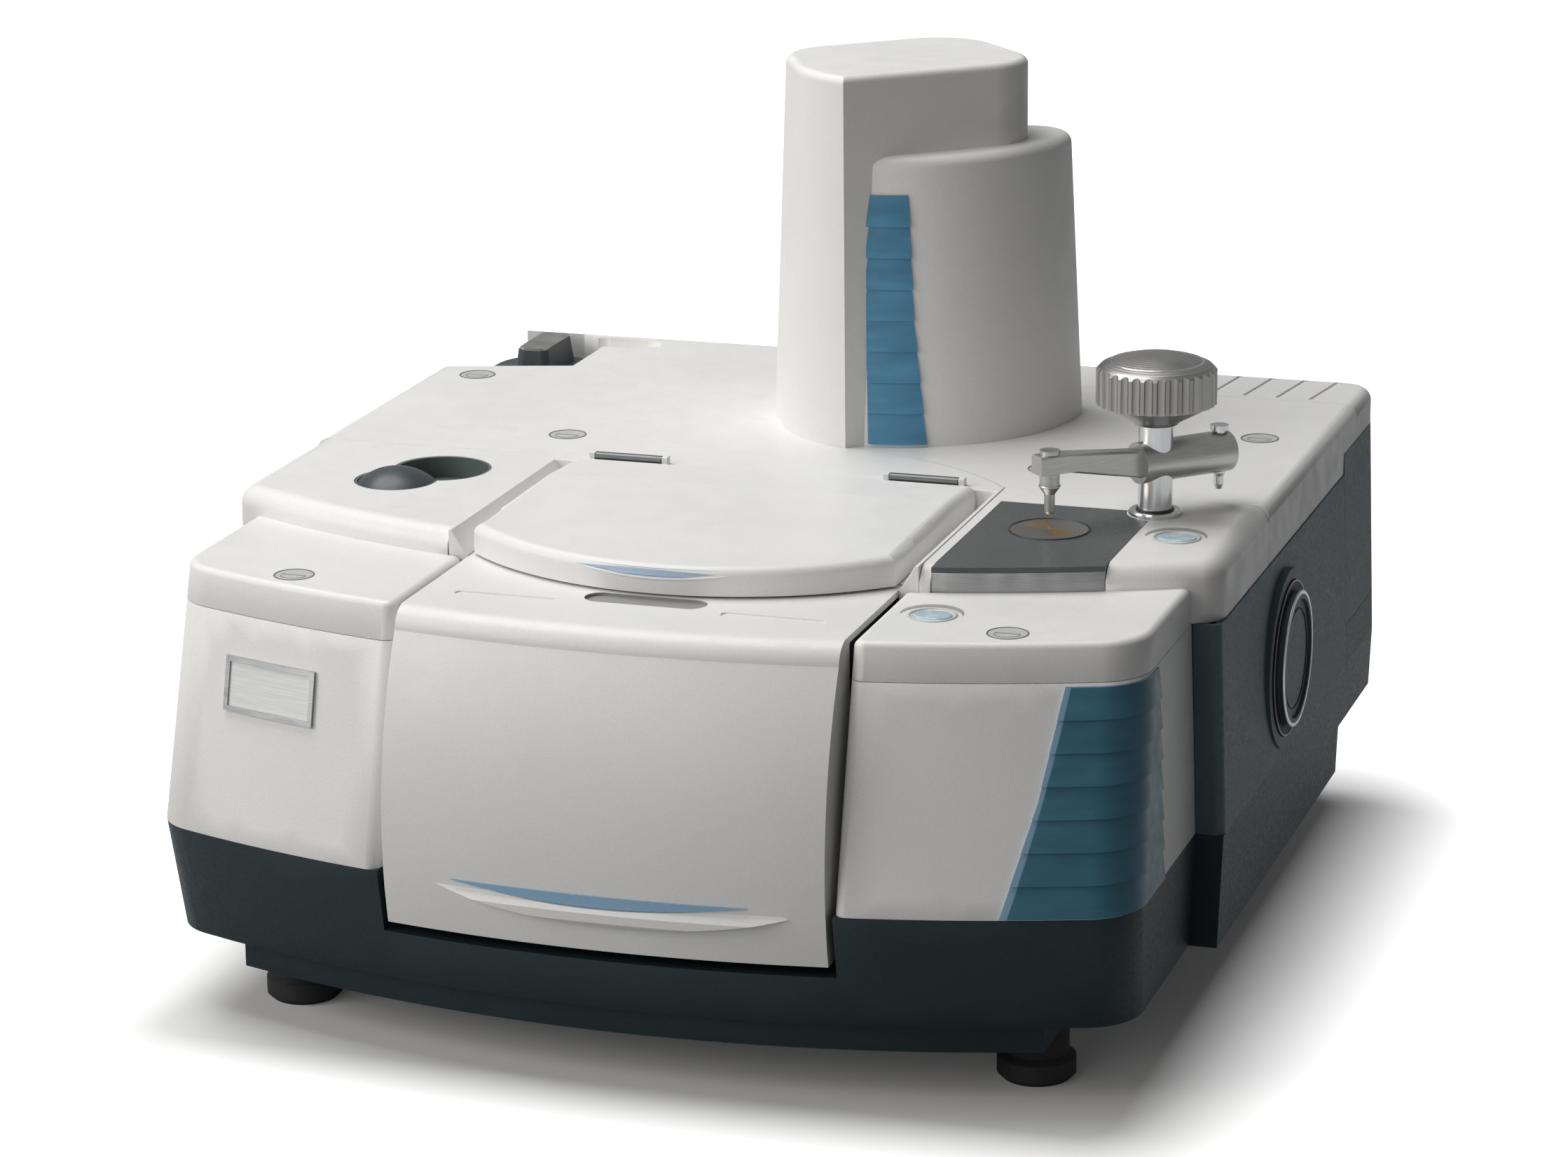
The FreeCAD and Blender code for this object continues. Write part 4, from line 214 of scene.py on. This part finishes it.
def ribbed(name, rgb, edge=None):
    """Ribbed blue trim: satin plastic with soft streaks, and perhaps a painted highlight, a pale line along its
    slanted edge and top.
    """
    look = Look(name, Specular_IOR_Level=0.3)
    streak = look.noise(26.0, 3.0, 0.5, look.stretched((1.0, 1.0, 4.0)))
    tint = look.mix(look.remap(streak, 0.3, 0.7), shade(rgb, 0.86), shade(rgb, 1.16))
    if edge:
        low, x_low, slope, bend, span = edge
        rise = look.math("SUBTRACT", look.axis("Z"), low)
        curve = look.product(rise, look.math("SUBTRACT", rise, span), bend)
        line = look.math("ADD", look.math("ADD", look.product(rise, slope), curve), x_low)
        beside = look.remap(look.math("SUBTRACT", look.axis("X"), line), 0.0026, 0.0034, 1.0, 0.0)
        top_highlight = look.remap(look.axis("Z"), 0.2462, 0.2466)
        # Painted highlight: pale blue along the slanted edge and on the top face.
        tint = look.mix(look.math("MAXIMUM", beside, top_highlight), tint, (0.24, 0.41, 0.56, 1.0))
    look.color(tint)
    look.rough(look.remap(look.noise(90.0), 0.3, 0.7, 0.32, 0.44))
    look.bump(look.noise(1500.0, 1.0), 0.00003)


def crystal_look():
    """The disc under the press tip: turned steel, a gold hourglass inlay and the small crystal."""
    look = ringed("disc_steel", (0.42, 0.42, 0.41), CRYSTAL, 0.26, 5200.0)
    turned = look.add("ShaderNodeVectorRotate", {"Vector": look.away, "Angle": math.radians(38.0)},
                      rotation_type="Z_AXIS").outputs[0]
    parts = look.add("ShaderNodeSeparateXYZ", {0: turned})
    across = look.math("ABSOLUTE", parts.outputs["X"])
    along = look.math("ABSOLUTE", parts.outputs["Y"])
    inside = look.math("LESS_THAN", along, look.math("ADD", look.product(across, 0.62), 0.0012))
    gold = look.product(inside, look.math("LESS_THAN", look.radius, 0.0165))
    tint = look.mix(gold, look.tint, (0.62, 0.4, 0.15, 1.0))
    crystal = look.math("LESS_THAN", look.radius, 0.0013)
    look.color(look.mix(crystal, tint, (0.75, 0.85, 0.9, 1.0)))


def glass_look():
    look = Look("window_glass", Transmission_Weight=0.85, IOR=1.5)
    haze = look.noise(30.0, 3.0)
    look.rough(look.remap(haze, 0.3, 0.7, 0.04, 0.12))
    look.color(look.mix(haze, (0.88, 0.93, 0.92, 1.0), (0.96, 0.98, 0.98, 1.0)))


def mirror_look():
    look = Look("mirror_face", Metallic=1.0)
    film = look.noise(50.0, 2.0)
    look.color(look.mix(film, (0.9, 0.78, 0.48, 1.0), (0.94, 0.83, 0.55, 1.0)))
    look.rough(look.remap(film, 0.3, 0.7, 0.05, 0.1))


def button_look():
    """Pale, cloudy and slightly translucent, under a clear coat."""
    look = Look("button_lens", Coat_Weight=0.5, Subsurface_Weight=0.2)
    cloud = look.noise(120.0, 2.0)
    look.color(look.mix(look.remap(cloud, 0.3, 0.7), (0.42, 0.52, 0.6, 1.0), (0.62, 0.72, 0.78, 1.0)))
    look.rough(look.remap(cloud, 0.3, 0.7, 0.18, 0.3))


moulded("lid_white", WHITE, patch=(lens_patch, LID_BLUE))
# The door's finger hollow gets a patch of painted shade in shadow grey.
moulded("door_white", WHITE, patch=(hollow_shade_patch, SHADOW_GREY))
moulded("lid_blue", LID_BLUE, 0.34, 1600.0, 0.00003)
moulded("cover_white", WHITE)
powder("base_slate", SLATE, Specular_IOR_Level=0.2)
# The panel slate carries painted shade in its dark teal colour.
powder("panel_slate", SHADED_PANEL, 0.55, Specular_IOR_Level=0.3)
moulded("liner_grey", (0.1, 0.13, 0.125), 0.5)
moulded("dark_grip", (0.04, 0.055, 0.062), 0.38, 1100.0)
moulded("socket_black", (0.018, 0.018, 0.02), 0.4)
moulded("foot_rubber", (0.016, 0.017, 0.018), 0.75, 700.0, 0.0001, 0.12)
brushed("badge_plain", (0.7, 0.71, 0.71), (40.0, 40.0, 1800.0), 0.42, 0.2, 0.000004)
brushed("badge_rim", (0.46, 0.47, 0.48), (60.0, 60.0, 1500.0), 0.3, 0.8, 0.000006)
moulded("ring_black", (0.008, 0.01, 0.011), 0.6, 1200.0, Specular_IOR_Level=0.15)
moulded("ring_grey", (0.34, 0.37, 0.38), 0.36, 1500.0)
# Pale silver for the port's lip, a painted highlight.
brushed("ring_silver_highlight", (0.62, 0.63, 0.64), (900.0, 200.0, 200.0), 0.3, 0.7, 0.00001)
moulded("seam_grey", SHADOW_GREY, 0.6)
moulded("groove_shade_grey", (0.36, 0.36, 0.35), 0.5)
moulded("slot_dark", (0.11, 0.115, 0.115), 0.5, 1500.0)
powder("vent_dark", (0.012, 0.013, 0.014), 0.6)
brushed("satin_steel", (0.5, 0.5, 0.49), (90.0, 90.0, 2200.0), 0.34)
brushed("bright_steel", (0.68, 0.69, 0.7), (2200.0, 2200.0, 60.0), 0.2)
brushed("hinge_steel", (0.13, 0.14, 0.14), (60.0, 1500.0, 1500.0), 0.4)
brushed("bench_metal", (0.5, 0.5, 0.51), (30.0, 1400.0, 1400.0), 0.4)
brushed("deck_body", (0.4, 0.41, 0.41), (70.0, 70.0, 1900.0), 0.38)
powder("deck_dark", (0.085, 0.092, 0.095), 0.34, 0.00004)
powder("tub_paint", (0.03, 0.03, 0.033), 0.6)
powder("tube_paint", (0.2, 0.21, 0.22), 0.45)
moulded("board_green", (0.01, 0.09, 0.035), 0.35, 900.0)
brushed("fitting_brass", (0.66, 0.47, 0.2), (1200.0, 60.0, 1200.0), 0.28)
moulded("pale_blue", PALE, 0.3, 1600.0, 0.00003, Coat_Weight=0.25)
moulded("fastener_grey", (0.56, 0.57, 0.56), 0.36, 1800.0, 0.00004)
ringed("knob_metal", (0.34, 0.335, 0.33), POST, 0.36)
# The column trim is a darker copy of the tower trim's blue: painted shade on the corner facing right.
ribbed("rib_column_shaded", (0.05, 0.16, 0.225), (0.118, 0.228, 0.23188, -0.5055, 0.069))
ribbed("rib_tower", (0.085, 0.255, 0.41))
crystal_look()
glass_look()
mirror_look()
button_look()

OWN_LOOK = {
    "access_cap": "dark_grip", "latch_handle": "dark_grip", "badge_frame": "badge_rim", "press_knob": "knob_metal",
    "lid_hinges": "hinge_steel", "cap_button": "button_lens", "atr_button": "button_lens",
    "corner_accent": "rib_column_shaded", "tower_accent": "rib_tower", "control_board": "board_green",
    "sample_lid": "lid_white", "front_door": "door_white", "lid_accent": "lid_blue", "port_cap": "panel_slate",
    "port_ring": "ring_black", "latch_bay": "base_slate", "latch_plate": "satin_steel",
}
slot_of = {entry["node"]: entry["material_slot"] for entry in frame["record"]["subparts"]}

for name, thing in nodes.items():
    thing.data.materials.clear()
    thing.data.materials.append(looks[OWN_LOOK.get(name, slot_of[name])].material)


# Soft edges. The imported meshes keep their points; these modifiers only join, bevel and shade them.

for name in ("left_column_cap", "right_column_cap", "rear_cover", "rear_strip", "dewar_cover", "atr_cover",
             "left_column", "right_column", "compartment_frame", "base_tray", "atr_deck", "atr_top_plate"):
    weld = nodes[name].modifiers.new("weld", "WELD")
    weld.merge_threshold = 0.00001
    bevel = nodes[name].modifiers.new("bevel", "BEVEL")
    bevel.width = 0.0006
    bevel.segments = 2
    bevel.limit_method = "ANGLE"
    bevel.angle_limit = math.radians(32.0)
    bevel.harden_normals = True


# The camera stands where the photograph was taken from.

YAW, PITCH, ROLL = (math.radians(angle) for angle in (18.0927, 15.9016, -0.5552))
ahead = Vector((-math.sin(YAW) * math.cos(PITCH), math.cos(YAW) * math.cos(PITCH), -math.sin(PITCH)))
level_right = Vector((math.cos(YAW), math.sin(YAW), 0.0))
level_up = level_right.cross(ahead)
right = level_right * math.cos(ROLL) + level_up * math.sin(ROLL)
up = level_up * math.cos(ROLL) - level_right * math.sin(ROLL)
lens = bpy.data.cameras.new("photo_camera")
lens.sensor_width = 36.0
lens.sensor_fit = "HORIZONTAL"
lens.lens = 108.56
lens.clip_end = 50.0
camera = bpy.data.objects.new("photo_camera", lens)
axes = Matrix((right, up, -ahead)).transposed().to_4x4()
camera.matrix_world = Matrix.Translation((0.88396, -2.69129, 1.02461)) @ axes
scene.collection.objects.link(camera)
scene.camera = camera


# A pale floor and soft studio light.

def floor(half=14):
    """White to the camera and in reflections, darker to the light that bounces, and with its own shadows kept."""
    look = Look("floor_white", Roughness=0.9, Specular_IOR_Level=0.1)
    path = look.add("ShaderNodeLightPath")
    mirrored = look.product(path.outputs["Is Glossy Ray"], 0.4)
    seen = look.math("MAXIMUM", path.outputs["Is Camera Ray"], mirrored)
    grain = look.mix(look.noise(3.0), (0.85, 0.85, 0.85, 1.0), (0.86, 0.86, 0.86, 1.0))
    look.color(look.mix(seen, (0.2, 0.21, 0.22, 1.0), grain))
    # The glow grows with the distance from the footprint, so that the shadow under the object stays.
    past = [look.math("MAXIMUM", look.math("SUBTRACT", look.math("ABSOLUTE", look.axis(name)), reach), 0.0)
            for name, reach in (("X", 0.27), ("Y", 0.29))]
    away = look.math("SQRT", look.math("ADD", look.product(past[0], past[0]), look.product(past[1], past[1])))
    lift = look.remap(away, 0.02, 0.14, 0.03, 1.0)
    glow = look.add("ShaderNodeEmission", {"Color": (1.0, 1.0, 1.0, 1.0), "Strength": look.product(seen, lift)})
    both = look.add("ShaderNodeAddShader", {0: look.shader.outputs[0], 1: glow.outputs[0]})
    output = next(node for node in look.tree.nodes if node.type == "OUTPUT_MATERIAL")
    look.tree.links.new(both.outputs[0], output.inputs["Surface"])
    mesh = bpy.data.meshes.new("floor")
    mesh.from_pydata([(-half, -half, 0), (half, -half, 0), (half, half, 0), (-half, half, 0)], [], [(0, 1, 2, 3)])
    mesh.materials.append(look.material)
    thing = bpy.data.objects.new("floor", mesh)
    scene.collection.objects.link(thing)


def softbox(name, place, target, wide, tall, power, rgb=(1.0, 1.0, 1.0)):
    light = bpy.data.lights.new(name, "AREA")
    light.shape = "RECTANGLE"
    light.size = wide
    light.size_y = tall
    light.energy = power
    light.color = rgb
    thing = bpy.data.objects.new(name, light)
    thing.location = place
    thing.rotation_euler = (Vector(target) - Vector(place)).to_track_quat("-Z", "Y").to_euler()
    scene.collection.objects.link(thing)


def surroundings():
    """White behind everything and through glass, paler in reflections, and a little fill on the object."""
    world = bpy.data.worlds.new("studio")
    world.use_nodes = True
    scene.world = world
    tree = world.node_tree
    path = tree.nodes.new("ShaderNodeLightPath")
    level = 0.07
    for output, share in (("Is Camera Ray", 0.93), ("Is Transmission Ray", 0.93), ("Is Glossy Ray", 0.25)):
        node = tree.nodes.new("ShaderNodeMath")
        node.operation = "MULTIPLY_ADD"
        tree.links.new(path.outputs[output], node.inputs[0])
        node.inputs[1].default_value = share
        if isinstance(level, float):
            node.inputs[2].default_value = level
        else:
            tree.links.new(level, node.inputs[2])
        level = node.outputs[0]
    tree.links.new(level, tree.nodes["Background"].inputs["Strength"])
    tree.nodes["Background"].inputs["Color"].default_value = (1.0, 1.0, 1.0, 1.0)


floor()
softbox("key_left", (-2.8, -2.3, 1.9), (0.0, -0.1, 0.2), 2.4, 2.0, 66.0, (1.0, 0.985, 0.96))
softbox("top", (-1.0, 0.2, 3.0), (-0.1, 0.0, 0.2), 2.2, 2.4, 76.0)
softbox("front_fill", (-0.6, -3.6, 1.4), (0.0, -0.2, 0.2), 1.8, 1.4, 17.0, (1.0, 0.96, 0.91))
surroundings()
scene.view_settings.view_transform = "Standard"


# New pieces: small details on the bodies.

def mesh_piece(name, points, faces, body, look, smooth=False):
    mesh = bpy.data.meshes.new(name)
    mesh.from_pydata([tuple(point) for point in points], [], faces)
    mesh.update()
    if smooth:
        mesh.shade_smooth()
    mesh.materials.append(looks[look].material)
    thing = bpy.data.objects.new(name, mesh)
    scene.collection.objects.link(thing)
    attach(thing, body)


def tube_faces(rows, count, closed=False):
    """Faces of a tube from rows of points, with both ends shut where it isn't closed on itself."""
    faces = []
    for row in range(rows if closed else rows - 1):
        start = row * count
        following = ((row + 1) % rows) * count
        for index in range(count):
            nxt = (index + 1) % count
            faces.append((start + index, start + nxt, following + nxt, following + index))
    if not closed:
        faces.append(tuple(reversed(range(count))))
        faces.append(tuple(range((rows - 1) * count, rows * count)))
    return faces


def ring_piece(name, centre, normal, radius, profile, body, look, steps=64, start=0.0, sweep=360.0):
    """A ring, or part of one, with its profile given as (outward, along the normal)."""
    normal = Vector(normal)
    first = Vector((1.0, 0.0, 0.0)) if normal.z else normal.orthogonal().normalized()
    second = normal.cross(first)
    whole = sweep >= 360.0
    rows = steps if whole else steps + 1
    points = []
    for index in range(rows):
        angle = math.radians(start + sweep * index / steps)
        out = first * math.cos(angle) + second * math.sin(angle)
        origin = Vector(centre) + out * radius
        points += [origin + out * a + normal * b for a, b in profile]
    mesh_piece(name, points, tube_faces(rows, len(profile), whole), body, look, True)


def round_profile(radius, count=10):
    return [(radius * math.cos(2 * math.pi * index / count), radius * math.sin(2 * math.pi * index / count))
            for index in range(count)]


def groove(name, x, y, level):
    """Painted shade of a shallow finger groove next to a button: a flat grey crescent, thin at its ends, widest in the
    middle.
    """
    points = []
    steps = 28
    for index in range(steps + 1):
        part = index / steps
        angle = math.radians(5.0 + 185.0 * part)
        half = 0.0052 * math.sin(math.pi * part) * 0.5 + 0.0001
        for reach in (0.0178 - half, 0.0178 + half):
            points.append((x + reach * math.cos(angle), y + reach * math.sin(angle), level))
    faces = [(2 * i, 2 * i + 1, 2 * i + 3, 2 * i + 2) for i in range(steps)]
    mesh_piece(name, points, faces, "housing", "groove_shade_grey")


def lens_lip():
    """The raised lip under the lens, fading out at both ends."""
    points = []
    count = 8
    steps = 40
    half = 0.048
    for index in range(steps + 1):
        part = index / steps
        x = 2 * half * part - half
        z = 0.2811 + 0.0034 * ((x - 0.0005) / half) ** 2
        rise = max(z - 0.2825, 0.0)
        reach = 0.18 + math.sqrt(0.006 ** 2 - rise ** 2)
        y = LID_ARC_Y - math.sqrt(reach ** 2 - x ** 2)
        thick = 0.0011 * math.sin(math.pi * part) ** 0.6 + 0.0001
        for step in range(count):
            angle = 2 * math.pi * step / count
            points.append((x, y - thick * 0.8 * math.cos(angle), z + thick * math.sin(angle)))
    mesh_piece("lens_lip", points, tube_faces(steps + 1, count), "lid", "cover_white", True)


def boxes_piece(name, spans, body, look):
    """Several small blocks in one mesh, each given by its low and its high corner."""
    points = []
    faces = []
    sides = [(0, 1, 3, 2), (4, 6, 7, 5), (0, 4, 5, 1), (2, 3, 7, 6), (0, 2, 6, 4), (1, 5, 7, 3)]
    for (x0, y0, z0), (x1, y1, z1) in spans:
        faces += [tuple(len(points) + index for index in side) for side in sides]
        points += [(x, y, z) for x in (x0, x1) for y in (y0, y1) for z in (z0, z1)]
    mesh_piece(name, points, faces, body, look)


def screw_heads(name, places, count=20):
    """Domed heads with a cross slot, facing the back."""
    points = []
    faces = []
    rings = ((0.0036, 0.0), (0.0036, 0.0006), (0.0028, 0.0013), (0.0014, 0.0016))
    for x, y, z in places:
        first = len(points)
        for radius, out in rings:
            points += [(x + a, y + out, z + b) for a, b in round_profile(radius, count)]
        for row in range(len(rings) - 1):
            for index in range(count):
                a = first + row * count + index
                b = first + row * count + (index + 1) % count
                faces.append((a, a + count, b + count, b))
        faces.append(tuple(len(points) - 1 - index for index in range(count)))
    mesh_piece(name, points, faces, "housing", "satin_steel", True)
    slots = []
    for x, y, z in places:
        slots.append(((x - 0.0016, y + 0.0012, z - 0.0003), (x + 0.0016, y + 0.00175, z + 0.0003)))
        slots.append(((x - 0.0003, y + 0.0012, z - 0.0016), (x + 0.0003, y + 0.00176, z + 0.0016)))
    boxes_piece(name + "_slots", slots, "housing", "slot_dark")


# Rings and painted groove shade of the two buttons, seams of the fasteners with painted shade at their steps, and the
# arc behind the hinges.
COLLAR = [(-0.0012, -0.0002), (0.0012, -0.0002), (0.0006, 0.0005), (-0.0006, 0.0005)]
for name, x, y, level in (("front_button", 0.1662, -0.2245, CAP_TOP), ("side_button", 0.273, -0.0786, COVER_TOP)):
    # Each button gets a flat grey crescent of painted shade for its finger groove.
    groove(name + "_groove", x - 0.001, y + 0.0015, level + 0.00018)
    ring_piece(name + "_collar", (x, y, level + 0.0001), UPRIGHT, 0.0134, COLLAR, "housing", "fastener_grey")
FASTENERS = ((-0.1585, 0.0565, COVER_TOP), (0.1585, 0.0565, COVER_TOP), (-0.275, 0.195, COVER_TOP),
             (0.2685, 0.167, COVER_TOP), (-0.2165, -0.247, CAP_TOP), (0.2165, -0.247, CAP_TOP))
for index, (x, y, level) in enumerate(FASTENERS):
    ring_piece(f"fastener_line_{index}", (x, y, level - 0.0001), UPRIGHT, 0.0117, round_profile(0.0005, 6),
               "housing", "slot_dark", 48)
    # A dark half ring of painted shade along the step inside each fastener.
    ring_piece(f"fastener_step_shade_{index}", (x, y, level - 0.0002), UPRIGHT, 0.0079, round_profile(0.0004, 6),
               "housing", "slot_dark", 40, 200.0, 150.0)
ring_piece("frame_line", (0.0, -0.116, 0.2854), UPRIGHT, 0.1882, round_profile(0.0004, 6), "housing",
           "seam_grey", 96, 40.5, 99.0)
lens_lip()

# The press station: a ring on the knob's face, a collar on the tip, and seals round the disc and the post.
ring_piece("knob_face_ring", (*POST, 0.3788), UPRIGHT, 0.0275, round_profile(0.0007), "knob", "bright_steel")
ring_piece("tip_collar", (*CRYSTAL, 0.3122), UPRIGHT, 0.0058, round_profile(0.0009), "arm", "bright_steel",
           32)
ring_piece("disc_seal", (*CRYSTAL, 0.2856), UPRIGHT, 0.0238, round_profile(0.0006), "housing", "socket_black")
ring_piece("post_seal", (*POST, 0.2885), UPRIGHT, 0.0108, round_profile(0.0008), "swing_post", "socket_black",
           40)

# The port: a pale lip on the plug, its pale silver a painted highlight, a pale line round its seat and a dark line in
# its dish.
PORT_LIP = [(-0.0024, -0.0004), (0.0024, -0.0004), (0.0017, 0.0007), (-0.0017, 0.0007)]
ring_piece("port_lip_highlight", (0.3212, *PORT), SIDEWAYS, 0.0402, PORT_LIP, "side_plug", "ring_silver_highlight", 72)
ring_piece("port_seat", (0.3169, *PORT), SIDEWAYS, 0.0478, round_profile(0.0007, 6), "housing", "ring_grey",
           72)
ring_piece("port_line", (0.3201, *PORT), SIDEWAYS, 0.031, round_profile(0.0004, 6), "side_plug", "ring_black",
           72)

# The back: screws round the panel, two fields of vents, pins in the inlet and tongues in the data sockets.
screw_heads("rear_screws", [(x, REAR_Y, z) for x in (-0.28, -0.1, 0.1, 0.28) for z in (0.153, 0.252)])
vents = [((x, REAR_Y, z), (x + 0.034, REAR_Y + 0.0004, z + 0.0022))
         for x in (-0.225, -0.181, -0.137, 0.103, 0.147, 0.191) for z in (0.233, 0.2375, 0.242, 0.2465)]
boxes_piece("rear_vents", vents, "housing", "vent_dark")
pins = [((INLET_X + x - 0.001, 0.3165, INLET_LEVEL + z - 0.002), (INLET_X + x + 0.001, 0.331, INLET_LEVEL + z + 0.002))
        for x, z in ((-0.007, -0.002), (0.0, 0.003), (0.007, -0.002))]
boxes_piece("inlet_pins", pins, "housing", "fitting_brass")
tongues = [((x - 0.0042, 0.326, 0.1893), (x + 0.0042, 0.3345, 0.1907)) for x in (-0.09, -0.048, -0.006)]
boxes_piece("socket_tongues", tongues, "housing", "ring_grey")
